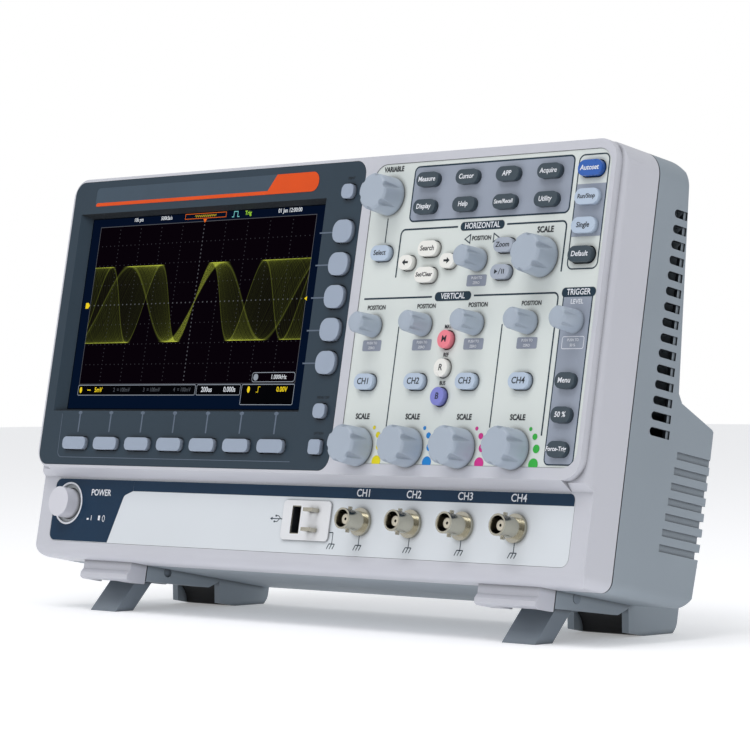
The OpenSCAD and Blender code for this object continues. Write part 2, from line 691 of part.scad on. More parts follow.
// BNC jack with its panel nut, pointing along +Z with its panel at z = 0
module bnc(len = bnc_len, tail = 14) {
    difference() {
        union() {
            translate([0, 0, -tail]) cylinder(h = len + tail, d = bnc_d);
            cylinder(h = 1.6, r = 6.6);
            translate([0, 0, len - 1]) cylinder(h = 1, r = bnc_d / 2 + 0.15);
            for (a = [0, 180]) rotate([0, 0, a]) translate([0, bnc_d / 2 - 0.5, len - 4.6]) rotate([-90, 0, 0])
                cylinder(h = 1.7, r = 1);
        }
        translate([0, 0, 2.2]) cylinder(h = len, r = bnc_d / 2 - 0.75);
    }
    // insulator with the centre socket
    difference() {
        translate([0, 0, 2.2]) cylinder(h = len - 4.6, r = 2.4);
        translate([0, 0, 4]) cylinder(h = len, r = 0.7);
    }
}

module bnc_jacks() color(metal) stand()
    for (i = [0:3]) translate([0, lower_y, 0]) on_front(channel_x(i), bnc_z) bnc();

// Raised plate with the upright USB socket and the two probe test hooks
module front_terminals() color(white) stand() {
    difference() {
        union() {
            slab(lower_y - 0.9, lower_y + input_t + 1) translate([terminal_x, bnc_z - 0.4]) pill(31, 17, 1.2);
            slab(lower_y - 0.9, lower_y) translate([terminal_x, bnc_z - 0.4]) pill(32.6, 19, 2.2);
        }
        slab(lower_y - 2, lower_y + 14) translate([terminal_x - 7, bnc_z - 0.2]) pill(6, 13.6, 0.4);
    }
    // socket shell and tongue
    translate([terminal_x - 7, lower_y, bnc_z - 0.2]) {
        difference() {
            translate([-3, -0.6, -6.8]) cube([6, 14, 13.6]);
            translate([-2.6, -1, -6.4]) cube([5.2, 13, 12.8]);
        }
        translate([0.6, 1.2, -5.4]) cube([1.8, 11, 10.8]);
    }
    // test hooks: flat loops standing out of the plate
    for (z = [4.4, -5]) translate([terminal_x + 6, lower_y, bnc_z + z]) difference() {
        translate([-4, -5.4, -0.9]) cube([6.4, 6, 1.8]);
        translate([-2.2, -4, -2]) cube([2.8, 2.6, 4]);
    }
}

lan_x = 20;
usb_x = 52;
trig_x = 84;
// Mains inlet, network, USB device and trigger output sockets of the rear panel
module rear_connectors() color([0.14, 0.14, 0.15]) stand() {
    on_back(inlet_x, inlet_z, core_back_y - 18) difference() {
        union() {
            linear_extrude(18.8) pill(27, 20, 1.8);
            translate([0, 0, 18]) linear_extrude(1.8) pill(34, 26, 3);
        }
        translate([0, 0, 3]) linear_extrude(30) pill(24, 17, 3);
    }
    for (p = [[-7, -1], [0, 3], [7, -1]]) on_back(inlet_x + p[0], inlet_z + p[1], core_back_y - 16)
        translate([-1, -2, 0]) cube([2, 4, 12]);
    on_back(lan_x, inlet_z, core_back_y - 16) difference() {
        linear_extrude(16.6) pill(16, 13.6, 0.4);
        translate([0, 0, 4]) linear_extrude(20) pill(12, 7.6, 0.4);
    }
    on_back(usb_x, inlet_z, core_back_y - 14) difference() {
        linear_extrude(14.6) pill(12.2, 11.2, 0.4);
        translate([0, 0, 3]) linear_extrude(20) pill(8.6, 7.9, 0.6);
    }
    on_back(usb_x, inlet_z, core_back_y - 12) translate([-2.8, -1.6, 0]) cube([5.6, 3.2, 10]);
    on_back(trig_x, inlet_z, core_back_y) bnc(12, 8);
    // board that carries them
    translate([-132, core_back_y - 19.6, inlet_z - 18]) cube([240, 1.6, 36]);
}

module rubber_pads() color([0.05, 0.05, 0.05]) above_ground() stand() for (s = [0, 1]) mirror([s, 0, 0]) {
    difference() {
        intersection() {
            rubber_seat(0.01);
            side_slab(rail_l + 4, rail_r - 4) polygon([[rear_foot_y0 - 0.6, -1], [rear_foot_y0 + 1.6, -rear_foot_h - 3],
                [rear_foot_y1 - 8, -rear_foot_h - 3], [rear_foot_y1 - 8, 0]]);
        }
        translate([rail_l, rear_foot_y0 - 4.2, -rear_foot_h - 4.8]) rotate([0, 90, 0]) cylinder(h = 60, r = 11.6);
    }
}

module screws() color([0.6, 0.6, 0.62]) stand() {
    for (x = [-screw_x, screw_x]) {
        case_screw(x, screw_low_z, lower_back_y - 15);
        case_screw(x, screw_high_z, upper_back_y - 19);
    }
}

// Cross-head case screw whose head seats at depth y
module case_screw(x, z, y) {
    on_back(x, z, y) difference() {
        union() {
            cylinder(h = 2.2, r = 3);
            translate([0, 0, -(y - front_end_y) - 9]) cylinder(h = y - front_end_y + 9, r = screw_r);
        }
        translate([-2, -0.4, 1.2]) cube([4, 0.8, 2]);
        translate([-0.4, -2, 1.2]) cube([0.8, 4, 2]);
    }
}

// ---------------------------------------------------------------- feet
module tilt_foot(s) color([0.47, 0.51, 0.55]) above_ground() stand() mirror([s, 0, 0]) {
    translate([0, pin_y, pin_z]) {
        // pin right through the foot; its ends show in the rail
        translate([rail_l + 1, 0, 0]) rotate([0, 90, 0]) cylinder(h = rail_r - rail_l - 0.8, r = foot_pin_d / 2);
        rotate([-foot_lean, 0, 0]) mirror([0, 0, 1]) {
            translate([foot_x - foot_w / 2, 0, 0]) rotate([0, 90, 0]) cylinder(h = foot_w, r = foot_t / 2);
            difference() {
                translate([foot_x - foot_w / 2, -foot_t / 2, 0]) cube([foot_w, foot_t, foot_len + 8]);
                // finger hollow in the back
                translate([foot_x - foot_w / 2 + 3, foot_t / 2 - 2, 8]) cube([foot_w - 6, 4, foot_len - 14]);
            }
        }
    }
}
module tilt_foot_left() tilt_foot(1);
module tilt_foot_right() tilt_foot(0);

// ---------------------------------------------------------------- knobs and keys
// Knob with six tapering finger notches, pushed onto its encoder shaft
module knob(k) color([0.68, 0.73, 0.78]) stand() on_front(k[0], k[1]) {
    d = k[2];
    base = 0.5 - fascia_y;            // gap under the knob
    rim = 1;
    taper = 0.9;
    difference() {
        union() {
            translate([0, 0, base]) cylinder(h = knob_len - rim - base, d1 = d, d2 = d - taper);
            translate([0, 0, knob_len - rim]) cylinder(h = rim, d1 = d - taper, d2 = d - taper - 1.6 * rim);
        }
        for (a = [0:5]) rotate(a * 60 + 20) translate([d / 2 + d * 0.01, 0, knob_len * 0.1])
            cylinder(h = knob_len, r1 = 0.02, r2 = d * 0.125);
        translate([0, 0, -1]) cylinder(h = knob_len - 1.9, r = shaft_d / 2 + shaft_gap);
    }
    // encoder shaft
    translate([0, 0, -board_y + 0.6]) cylinder(h = knob_len - 3.4 + board_y - 0.6, r = shaft_d / 2);
}
module knob_variable() knob(knobs[0]);
module knob_h_position() knob(knobs[1]);
module knob_h_scale() knob(knobs[2]);
module knob_trigger_level() knob(knobs[3]);
module knob_position_1() knob(knobs[4]);
module knob_position_2() knob(knobs[5]);
module knob_position_3() knob(knobs[6]);
module knob_position_4() knob(knobs[7]);
module knob_scale_1() knob(knobs[8]);
module knob_scale_2() knob(knobs[9]);
module knob_scale_3() knob(knobs[10]);
module knob_scale_4() knob(knobs[11]);

// Key of the fascia: cap, flange behind the plate and plunger over its switch
module fascia_key(k) {
    back = fascia_y + fascia_t;
    slab(-key_out, back + 0.5) at_key(k) key_outline(k);
    slab(back + 0.4, back + 0.4 + flange_t) at_key(k) key_outline(k, flange);
    slab(back + 0.4 + flange_t, board_y - 1.2 - key_travel - 0.2) at_key(k) circle(1.8);
}

// Key of the bezel, drawn around its own middle
module bezel_key(w, h, r) {
    slab(-key_out + 0.4, bezel_t - 1) pill(w, h, r);
    slab(bezel_t - 1, bezel_t + 0.3) pill(w + 2 * flange, h + 2 * flange, r);
}

module softkeys_bottom() color(pale_blue * 0.85) stand() {
    for (i = [0:6]) translate([screen_l + 17.9 + soft_pitch * i, 0, soft_row_z]) bezel_key(18, 6.4, 2.6);
}
module softkeys_side() color(pale_blue * 0.85) stand() {
    for (i = [0:4]) translate([soft_x, 0, screen_b + screen_h - 15.6 - side_pitch * i]) bezel_key(13, 11, 4.8);
}
module key_hardcopy() color(pale_blue * 0.85) stand() translate([soft_x, 0, hardcopy_z]) bezel_key(8, 7, 2.8);
module key_menu_off() color(pale_blue * 0.85) stand() translate([soft_x, 0, menu_off_z]) bezel_key(8, 7, 2.8);
module key_option() color(pale_blue * 0.85) stand() translate([soft_x, 0, soft_row_z]) bezel_key(8, 7, 1.8);
module function_keys() color(slate) stand() for (k = function_keys_at) fascia_key(k);
module key_select() color(pale_blue) stand() fascia_key(keys[0]);
module key_search() color(white) stand() fascia_key(keys[1]);
module key_set_clear() color(white) stand() fascia_key(keys[2]);
module key_previous() color(white) stand() fascia_key(keys[3]);
module key_next() color(white) stand() fascia_key(keys[4]);
module key_zoom() color(grey) stand() fascia_key(keys[5]);
module key_play() color(grey) stand() fascia_key(keys[6]);
module key_autoset() color([0.14, 0.35, 0.75]) stand() fascia_key(keys[7]);
module key_run_stop() color(pale_blue) stand() fascia_key(keys[8]);
module key_single() color(pale_blue) stand() fascia_key(keys[9]);
module key_default() color(slate) stand() fascia_key(keys[10]);
module key_math() color([0.94, 0.51, 0.57]) stand() fascia_key(keys[11]);
module key_reference() color(white) stand() fascia_key(keys[12]);
module key_bus() color([0.51, 0.53, 0.80]) stand() fascia_key(keys[13]);
module key_ch1() color(pale_blue) stand() fascia_key(keys[14]);
module key_ch2() color(pale_blue) stand() fascia_key(keys[15]);
module key_ch3() color(pale_blue) stand() fascia_key(keys[16]);
module key_ch4() color(pale_blue) stand() fascia_key(keys[17]);
module key_trigger_menu() color(slate) stand() fascia_key(keys[18]);
module key_trigger_half() color(slate) stand() fascia_key(keys[19]);
module key_trigger_force() color(slate) stand() fascia_key(keys[20]);

module power_button() color(white) stand() translate([0, lower_y, 0]) on_front(power_x, power_z) {
    translate([0, 0, -9]) cylinder(h = 16, d = power_d);
    translate([0, 0, -12]) cylinder(h = 4, r = 3);
}

front_housing();
screen_bezel();
control_fascia();
input_fascia();
rear_cover();
screen_window();
lcd_module();
front_board();
main_board();
shield_chassis();
power_supply();
fan_frame();
fan_rotor();
bnc_jacks();
front_terminals();
rear_connectors();
rubber_pads();
screws();
tilt_foot_left();
tilt_foot_right();
power_button();
knob_variable();
knob_h_position();
knob_h_scale();
knob_trigger_level();
knob_position_1();
knob_position_2();
knob_position_3();
knob_position_4();
knob_scale_1();
knob_scale_2();
knob_scale_3();
knob_scale_4();
softkeys_bottom();
softkeys_side();
key_hardcopy();
key_menu_off();
key_option();
function_keys();
key_select();
key_search();
key_set_clear();
key_previous();
key_next();
key_zoom();
key_play();
key_autoset();
key_run_stop();
key_single();
key_default();
key_math();
key_reference();
key_bus();
key_ch1();
key_ch2();
key_ch3();
key_ch4();
key_trigger_menu();
key_trigger_half();
key_trigger_force();
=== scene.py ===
# Looks of the bench oscilloscope: materials, printed graphics, screen, light and camera.
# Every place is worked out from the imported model, in the level frame of the case (millimetres:
# x right, y back from the front plate, z up from the underside), then leaned back with it.
import json
import math

import bmesh
import bpy
from mathutils import Matrix, Vector

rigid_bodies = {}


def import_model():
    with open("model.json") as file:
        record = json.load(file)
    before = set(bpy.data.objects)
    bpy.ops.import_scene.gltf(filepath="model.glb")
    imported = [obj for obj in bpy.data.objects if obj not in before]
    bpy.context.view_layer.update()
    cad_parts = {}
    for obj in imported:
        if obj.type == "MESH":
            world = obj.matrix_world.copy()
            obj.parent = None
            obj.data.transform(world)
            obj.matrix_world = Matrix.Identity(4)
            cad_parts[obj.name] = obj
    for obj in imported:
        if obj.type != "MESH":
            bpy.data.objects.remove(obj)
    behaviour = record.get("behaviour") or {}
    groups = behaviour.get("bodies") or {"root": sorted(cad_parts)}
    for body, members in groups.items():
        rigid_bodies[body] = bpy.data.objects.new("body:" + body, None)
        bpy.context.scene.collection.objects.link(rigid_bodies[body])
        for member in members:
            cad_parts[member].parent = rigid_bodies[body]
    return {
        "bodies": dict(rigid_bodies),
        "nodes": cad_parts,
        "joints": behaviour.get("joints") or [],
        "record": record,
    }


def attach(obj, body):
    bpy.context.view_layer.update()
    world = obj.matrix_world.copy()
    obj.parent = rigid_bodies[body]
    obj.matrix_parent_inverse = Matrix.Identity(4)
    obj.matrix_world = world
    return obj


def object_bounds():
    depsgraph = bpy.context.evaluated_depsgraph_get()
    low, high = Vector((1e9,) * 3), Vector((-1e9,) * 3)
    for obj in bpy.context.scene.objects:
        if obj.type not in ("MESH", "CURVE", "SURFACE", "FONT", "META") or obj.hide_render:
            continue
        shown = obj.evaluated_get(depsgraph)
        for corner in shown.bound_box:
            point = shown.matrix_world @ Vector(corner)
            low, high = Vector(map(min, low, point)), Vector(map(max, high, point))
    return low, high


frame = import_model()
cad_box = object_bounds()
NODES = frame["nodes"]
JOINTS = {j["name"]: j for j in frame["record"]["behaviour"]["joints"]}
SLOT = {s["node"]: s.get("material_slot", s["node"]) for s in frame["record"]["subparts"]}

# ------------------------------------------------------------------ the leaning frame of the case
inward = JOINTS["power_press"]["axis"]
COS, SIN = inward[1], -inward[2]
_housing = [v.co for v in NODES["front_housing"].data.vertices]
Y0 = min(v[1] * COS - v[2] * SIN for v in _housing)      # front plane of the case
Z0 = min(v[1] * SIN + v[2] * COS for v in _housing)      # lowest edge of its foot blocks
UNDERSIDE = 9.6                                          # their depth below the case, in mm


def w(x, y, z):
    """Case millimetres to world metres."""
    x, y, z = x / 1000, y / 1000 + Y0, (z + UNDERSIDE) / 1000 + Z0
    return Vector((x, y * COS + z * SIN, -y * SIN + z * COS))


def case(v):
    """World metres to case millimetres."""
    y, z = v[1], v[2]
    return (v[0] * 1000, (y * COS - z * SIN - Y0) * 1000, (y * SIN + z * COS - Z0) * 1000 - UNDERSIDE)


def cbox(node):
    """Case-frame box of a CAD node, in millimetres: x0, x1, y0, y1, z0, z1."""
    pts = [case(v.co) for v in NODES[node].data.vertices]
    out = []
    for i in range(3):
        c = [p[i] for p in pts]
        out += [min(c), max(c)]
    return out


def middle(node):
    """Middle of a node seen from the front: x, z."""
    b = cbox(node)
    return (b[0] + b[1]) / 2, (b[4] + b[5]) / 2


def joint_xz(name):
    """Place of a joint seen from the front: x, z."""
    c = case(JOINTS[name]["pos_m"])
    return c[0], c[2]


FASCIA = cbox("control_fascia")
BEZEL = cbox("screen_bezel")
INPUT = cbox("input_fascia")
HOUSING = cbox("front_housing")
# where the outer skin of the front housing ends and the rear cover begins
SEAM = max(y for x, y, z in map(case, _housing) if x > HOUSING[1] - 0.1)
CHX = [joint_xz("scale_%d_turn" % i)[0] for i in (1, 2, 3, 4)]
SCALE_Z = joint_xz("scale_1_turn")[1]
LEVEL_Z = joint_xz("position_1_turn")[1]
VAR_X, VAR_Z = joint_xz("variable_turn")
HPOS_X, H_Z = joint_xz("h_position_turn")
HSCALE_X = joint_xz("h_scale_turn")[0]
RIGHT_X = joint_xz("trigger_level_turn")[0]

# ------------------------------------------------------------------ materials


def srgb(r, g, b):
    """Linear colour from the usual 0 to 255 values."""
    def lin(c):
        c /= 255
        return c / 12.92 if c <= 0.04045 else ((c + 0.055) / 1.055) ** 2.4
    return (lin(r), lin(g), lin(b), 1.0)


def mixed(c, k):
    """Colour c made lighter (k above 1) or darker."""
    return (min(c[0] * k, 1), min(c[1] * k, 1), min(c[2] * k, 1), 1.0)


class Tree:
    """Short way to write a node tree."""

    def __init__(self, name):
        self.mat = bpy.data.materials.new(name)
        self.mat.use_nodes = True
        self.t = self.mat.node_tree
        self.t.nodes.clear()
        self.out = self.t.nodes.new("ShaderNodeOutputMaterial")

    def node(self, kind, **props):
        n = self.t.nodes.new(kind)
        for k, v in props.items():
            setattr(n, k, v)
        return n

    def put(self, socket, value):
        if isinstance(value, bpy.types.NodeSocket):
            self.t.links.new(value, socket)
        elif value is not None:
            socket.default_value = value

    def math(self, op, a, b=None, c=None, clamp=False):
        n = self.node("ShaderNodeMath", operation=op, use_clamp=clamp)
        for s, v in zip(n.inputs, (a, b, c)):
            self.put(s, v)
        return n.outputs[0]

    def noise(self, vector, scale, detail=3.0, rough=0.55):
        n = self.node("ShaderNodeTexNoise")
        self.put(n.inputs["Vector"], vector)
        n.inputs["Scale"].default_value = scale
        n.inputs["Detail"].default_value = detail
        n.inputs["Roughness"].default_value = rough
        return n.outputs["Fac"]

    def mix(self, fac, a, b):
        n = self.node("ShaderNodeMix", data_type="RGBA")
        self.put(n.inputs[0], fac)
        self.put(n.inputs[6], a)
        self.put(n.inputs[7], b)
        return n.outputs[2]

    def depth(self, co):
        """Case y in mm of object coordinates."""
        sep = self.node("ShaderNodeSeparateXYZ")
        self.put(sep.inputs[0], co)
        y = self.math("MULTIPLY", sep.outputs[1], 1000 * COS)
        z = self.math("MULTIPLY", sep.outputs[2], 1000 * SIN)
        return self.math("SUBTRACT", self.math("SUBTRACT", y, z), 1000 * Y0)

    def ramp(self, fac, lo, hi, a=0.0, b=1.0):
        n = self.node("ShaderNodeMapRange", clamp=True)
        for s, v in zip(n.inputs, (fac, lo, hi, a, b)):
            self.put(s, v)
        return n.outputs[0]


def moulded(name, colour, rough=0.42, grain=0.10, grain_mm=0.45, vary=0.035, coat=0.0, metallic=0.0,
            dust=0.05, painted_edge_highlight=0.0, spec=0.5, sheen=0.0, gap_mm=2.5, painted_gap_shade=0.85,
            painted_seam_shade=False):
    """Moulded plastic or paint: slow colour drift, fine moulded grain, faint dirt, uneven gloss; painted
    shade in narrow gaps, a painted highlight along rounded edges and, when asked, a painted shade line at the
    seam.
    """
    t = Tree(name)
    bsdf = t.node("ShaderNodeBsdfPrincipled")
    t.t.links.new(bsdf.outputs[0], t.out.inputs[0])
    co = t.node("ShaderNodeTexCoord").outputs["Object"]
    slow = t.noise(co, 14.0, 2.0)
    fine = t.noise(co, 1000.0 / grain_mm, 2.0)
    smear = t.noise(co, 55.0, 5.0, 0.65)
    base = t.mix(t.ramp(slow, 0.3, 0.7), mixed(colour, 1 - vary), mixed(colour, 1 + vary))
    base = t.mix(t.math("MULTIPLY", t.ramp(fine, 0.35, 0.7), vary * 0.8), base, mixed(colour, 0.8))
    # faint handling dirt
    base = t.mix(t.ramp(smear, 0.58, 0.82, 0.0, dust), base, mixed(colour, 0.62))
    # painted shade: colour darkened in narrow gaps and recesses, found with the ambient occlusion node
    shade = t.node("ShaderNodeAmbientOcclusion", samples=6)
    shade.inputs["Distance"].default_value = gap_mm / 1000
    base = t.mix(t.ramp(shade.outputs["AO"], 0.35, 0.95, painted_gap_shade, 0.0), base, mixed(colour, 0.12))
    # painted shade: a dark line, 0.4 mm wide, on the surface at the seam between front housing and rear cover
    if painted_seam_shade:
        y = t.math("SUBTRACT", t.depth(co), SEAM)
        base = t.mix(t.math("LESS_THAN", t.math("ABSOLUTE", y), 0.2), base, mixed(colour, 0.12))
    # painted highlight: colour lightened along rounded edges, found with the bevel node, in patches
    if painted_edge_highlight > 0:
        bev = t.node("ShaderNodeBevel", samples=4)
        bev.inputs["Radius"].default_value = 0.0006
        geo = t.node("ShaderNodeNewGeometry")
        dot = t.node("ShaderNodeVectorMath", operation="DOT_PRODUCT")
        t.t.links.new(bev.outputs[0], dot.inputs[0])
        t.t.links.new(geo.outputs["Normal"], dot.inputs[1])
        edge = t.math("MULTIPLY", t.ramp(dot.outputs["Value"], 0.985, 0.9), t.ramp(smear, 0.42, 0.62))
        base = t.mix(t.math("MULTIPLY", edge, painted_edge_highlight), base, mixed(colour, 1.7))
    t.put(bsdf.inputs["Base Color"], base)
    t.put(bsdf.inputs["Roughness"], t.ramp(smear, 0.3, 0.75, max(rough - 0.05, 0.03), rough + 0.07))
    bsdf.inputs["Metallic"].default_value = metallic
    bsdf.inputs["Specular IOR Level"].default_value = spec
    bsdf.inputs["Coat Weight"].default_value = coat
    bsdf.inputs["Coat Roughness"].default_value = 0.18
    bsdf.inputs["Sheen Weight"].default_value = sheen
    bump = t.node("ShaderNodeBump")
    bump.inputs["Strength"].default_value = grain
    bump.inputs["Distance"].default_value = 0.00012
    t.put(bump.inputs["Height"], fine)
    t.t.links.new(bump.outputs[0], bsdf.inputs["Normal"])
    return t.mat


def metal(name, colour, rough=0.2, brushed=0.0, vary=0.06, along=(1, 1, 1)):
    """Bare metal with fine tool marks, stretched by the scale along."""
    t = Tree(name)
    bsdf = t.node("ShaderNodeBsdfPrincipled")
    t.t.links.new(bsdf.outputs[0], t.out.inputs[0])
    co = t.node("ShaderNodeTexCoord").outputs["Object"]
    stretch = t.node("ShaderNodeMapping")
    t.t.links.new(co, stretch.inputs["Vector"])
    stretch.inputs["Scale"].default_value = along
    lines = t.noise(stretch.outputs[0], 1400.0, 3.0)
    cloud = t.noise(co, 180.0, 4.0, 0.6)
    base = t.mix(t.ramp(cloud, 0.3, 0.7), mixed(colour, 1 - vary), mixed(colour, 1 + vary))
    t.put(bsdf.inputs["Base Color"], base)
    bsdf.inputs["Metallic"].default_value = 1.0
    t.put(bsdf.inputs["Roughness"], t.ramp(cloud, 0.25, 0.8, max(rough - 0.06, 0.04), rough + 0.12))
    bump = t.node("ShaderNodeBump")
    bump.inputs["Strength"].default_value = 0.06 + brushed
    bump.inputs["Distance"].default_value = 0.00008
    t.put(bump.inputs["Height"], lines)
    t.t.links.new(bump.outputs[0], bsdf.inputs["Normal"])
    return t.mat


def ink(name, colour, rough=0.5, spec=0.4):
    """Screen-printed ink: slightly uneven cover and gloss."""
    t = Tree(name)
    bsdf = t.node("ShaderNodeBsdfPrincipled")
    t.t.links.new(bsdf.outputs[0], t.out.inputs[0])
    co = t.node("ShaderNodeTexCoord").outputs["Object"]
    cover = t.noise(co, 900.0, 3.0)
    drift = t.noise(co, 40.0, 2.0)
    base = t.mix(t.ramp(drift, 0.3, 0.7), mixed(colour, 0.96), mixed(colour, 1.05))
    base = t.mix(t.ramp(cover, 0.66, 0.85, 0.0, 0.12), base, mixed(colour, 1.35))
    t.put(bsdf.inputs["Base Color"], base)
    t.put(bsdf.inputs["Roughness"], t.ramp(cover, 0.3, 0.7, rough - 0.06, rough + 0.06))
    bsdf.inputs["Specular IOR Level"].default_value = spec
    bump = t.node("ShaderNodeBump")
    bump.inputs["Strength"].default_value = 0.05
    bump.inputs["Distance"].default_value = 0.00005
    t.put(bump.inputs["Height"], cover)
    t.t.links.new(bump.outputs[0], bsdf.inputs["Normal"])
    return t.mat


def lit(name, colour, strength=1.0):
    """Lit marks on the display, with a little pixel noise."""
    t = Tree(name)
    em = t.node("ShaderNodeEmission")
    co = t.node("ShaderNodeTexCoord").outputs["Object"]
    px = t.noise(co, 2600.0, 1.0)
    t.put(em.inputs["Color"], t.mix(t.ramp(px, 0.3, 0.7), mixed(colour, 0.85), mixed(colour, 1.0)))
    em.inputs["Strength"].default_value = strength
    t.t.links.new(em.outputs[0], t.out.inputs[0])
    return t.mat


M = {
    "housing_white": moulded("housing_white", srgb(201, 202, 210), 0.38, 0.10, vary=0.015, dust=0.02,
                             coat=0.05, painted_seam_shade=True),
    "fascia_cream": moulded("fascia_cream", srgb(219, 225, 222), 0.48, 0.08, 0.35, vary=0.015, dust=0.02),
    "bezel_slate": moulded("bezel_slate", srgb(43, 59, 72), 0.42, 0.16, 0.5, vary=0.05, dust=0.02,
                           painted_edge_highlight=0.25, spec=0.32),
    "input_silver": moulded("input_silver", srgb(219, 224, 229), 0.42, 0.06, 0.35, vary=0.012, dust=0.02),
    "cover_grey": moulded("cover_grey", srgb(145, 155, 164), 0.5, 0.22, 0.6, vary=0.04, dust=0.05,
                          painted_edge_highlight=0.2, painted_seam_shade=True),
    "circuit_board": moulded("circuit_board", srgb(28, 96, 52), 0.3, 0.05, 0.8, vary=0.1, coat=0.3),
    "sheet_metal": metal("sheet_metal", srgb(196, 198, 200), 0.32, 0.2, along=(1, 1, 12)),
    "fan_black": moulded("fan_black", srgb(34, 34, 37), 0.45, 0.1, vary=0.08),
    "nickel": metal("nickel", srgb(190, 186, 172), 0.18, 0.04),
    "terminal_white": moulded("terminal_white", srgb(228, 229, 232), 0.4, 0.08, vary=0.012, dust=0.02),
    "insulator": moulded("insulator", srgb(222, 214, 196), 0.35, 0.03, vary=0.02, dust=0.02),
    "button_white": moulded("button_white", srgb(214, 214, 222), 0.32, 0.04, vary=0.015, dust=0.02, coat=0.1),
    "socket_black": moulded("socket_black", srgb(30, 30, 33), 0.4, 0.12, vary=0.08),
    "rubber_black": moulded("rubber_black", srgb(24, 25, 27), 0.75, 0.35, 0.4, vary=0.12, spec=0.3,
                            sheen=0.1),
    "screw_steel": metal("screw_steel", srgb(170, 170, 172), 0.3, 0.1),
    "foot_grey": moulded("foot_grey", srgb(122, 132, 142), 0.48, 0.18, 0.5, vary=0.04, painted_edge_highlight=0.2),
    "knob_grey": moulded("knob_grey", srgb(168, 179, 193), 0.34, 0.06, 0.3, vary=0.02, dust=0.03, coat=0.08),
    "softkey_grey": moulded("softkey_grey", srgb(156, 168, 186), 0.4, 0.05, 0.3, vary=0.025, dust=0.03),
    "key_dark": moulded("key_dark", srgb(56, 70, 80), 0.42, 0.06, 0.3, vary=0.04, dust=0.03),
    "key_pale": moulded("key_pale", srgb(184, 199, 218), 0.4, 0.05, 0.3, vary=0.02, dust=0.02),
    "key_white": moulded("key_white", srgb(238, 237, 232), 0.4, 0.05, 0.3, vary=0.012, dust=0.02),
    "key_mid": moulded("key_mid", srgb(168, 176, 190), 0.4, 0.05, 0.3, vary=0.02, dust=0.02),
    "key_blue": moulded("key_blue", srgb(24, 88, 176), 0.3, 0.04, 0.3, vary=0.03, coat=0.3),
    "key_pink": moulded("key_pink", srgb(240, 128, 142), 0.38, 0.04, 0.3, vary=0.02, coat=0.1),
    "key_violet": moulded("key_violet", srgb(128, 132, 208), 0.38, 0.04, 0.3, vary=0.02, coat=0.1),
}
INK = {
    "slate": ink("ink_slate", srgb(24, 48, 64), 0.5, 0.3),
    "grey": ink("ink_grey", srgb(152, 160, 175)),
    "softgrey": ink("ink_softgrey", srgb(144, 151, 167)),
    "navy": ink("ink_navy", srgb(12, 46, 73), 0.42, 0.25),
    "white": ink("ink_white", srgb(232, 234, 240)),
    "black": ink("ink_black", srgb(28, 34, 42)),
    "orange": ink("ink_orange", srgb(222, 78, 16), 0.45, 0.25),
    "yellow": ink("ink_yellow", srgb(228, 214, 26)),
    "blue": ink("ink_blue", srgb(30, 130, 205)),
    "pink": ink("ink_pink", srgb(208, 50, 140)),
    "green": ink("ink_green", srgb(56, 178, 68)),
    "plate": ink("ink_plate", srgb(58, 75, 90), 0.36, 0.4),
    # painted highlight: a lighter ink for the lit tops of the bezel's raised guide ridges
    "ridge_highlight": ink("bezel_ridge_highlight", srgb(92, 105, 122), 0.42),
    "shadow": ink("gap_shadow", srgb(24, 30, 36), 0.7),
}

for node, obj in NODES.items():
    m = M.get(SLOT[node])
    if m:
        obj.data.materials.clear()
        obj.data.materials.append(m)

# ------------------------------------------------------------------ edge rounding on the CAD pieces


def soften(node, width, segments=2, angle=34, crisp=False):
    """Rounds the edges of a CAD piece by width in mm; crisp keeps its flutes sharp in shading."""
    o = NODES[node]
    weld = o.modifiers.new("weld", "WELD")
    weld.merge_threshold = 0.000002
    b = o.modifiers.new("edges", "BEVEL")
    b.width = width / 1000
    b.segments = segments
    b.limit_method = "ANGLE"
    b.angle_limit = math.radians(angle)
    b.use_clamp_overlap = True
    b.miter_outer = "MITER_ARC"
    b.harden_normals = False
    o.data.polygons.foreach_set("use_smooth", [True] * len(o.data.polygons))
    if crisp:
        split = o.modifiers.new("crisp", "EDGE_SPLIT")
        split.split_angle = math.radians(38)
        return
    wn = o.modifiers.new("normals", "WEIGHTED_NORMAL")
    wn.weight = 60
    wn.keep_sharp = True


for node in NODES:
    if node.startswith("key_") or node in ("function_keys", "softkeys_bottom", "softkeys_side"):
        soften(node, 0.75, 3)
    elif node.startswith("knob_"):
        soften(node, 0.22, 1, 26, crisp=True)
soften("power_button", 0.9, 3)
ROUNDED = {"front_housing": 0.5, "screen_bezel": 0.35, "rear_cover": 0.5, "tilt_foot_left": 0.6,
           "tilt_foot_right": 0.6, "front_terminals": 0.2, "rubber_pads": 0.4}
for node, width in ROUNDED.items():
    soften(node, width)

# ------------------------------------------------------------------ faces with a material of their own


def paint(node, extra, pick):
    """Adds materials to a CAD node; pick(centre, normal), in case mm, numbers each face's material."""
    mesh = NODES[node].data
    for m in extra:
        mesh.materials.append(m)
    for p in mesh.polygons:
        c = Vector(case(p.center))
        p.material_index = pick(c, Vector(case(p.center + p.normal * 0.001)) - c)


def hole_walls(box, rim):
    """Walls of the holes in a front plate, for the painted shade; rim is how far its own edge reaches in."""
    def pick(c, n):
        inside = box[0] + rim < c.x < box[1] - rim and box[4] + rim < c.z < box[5] - rim
        return int(inside and abs(n.y) < 0.35)
    return pick


# painted shade: the walls of the holes round the keys and soft keys get the dark gap_shadow ink
paint("control_fascia", [INK["shadow"]], hole_walls(FASCIA, 1.2))
paint("screen_bezel", [INK["shadow"]], hole_walls(BEZEL, 5.0))
COVER = cbox("rear_cover")
SKIN = 2.4                                  # a little less than the cover's wall, in mm


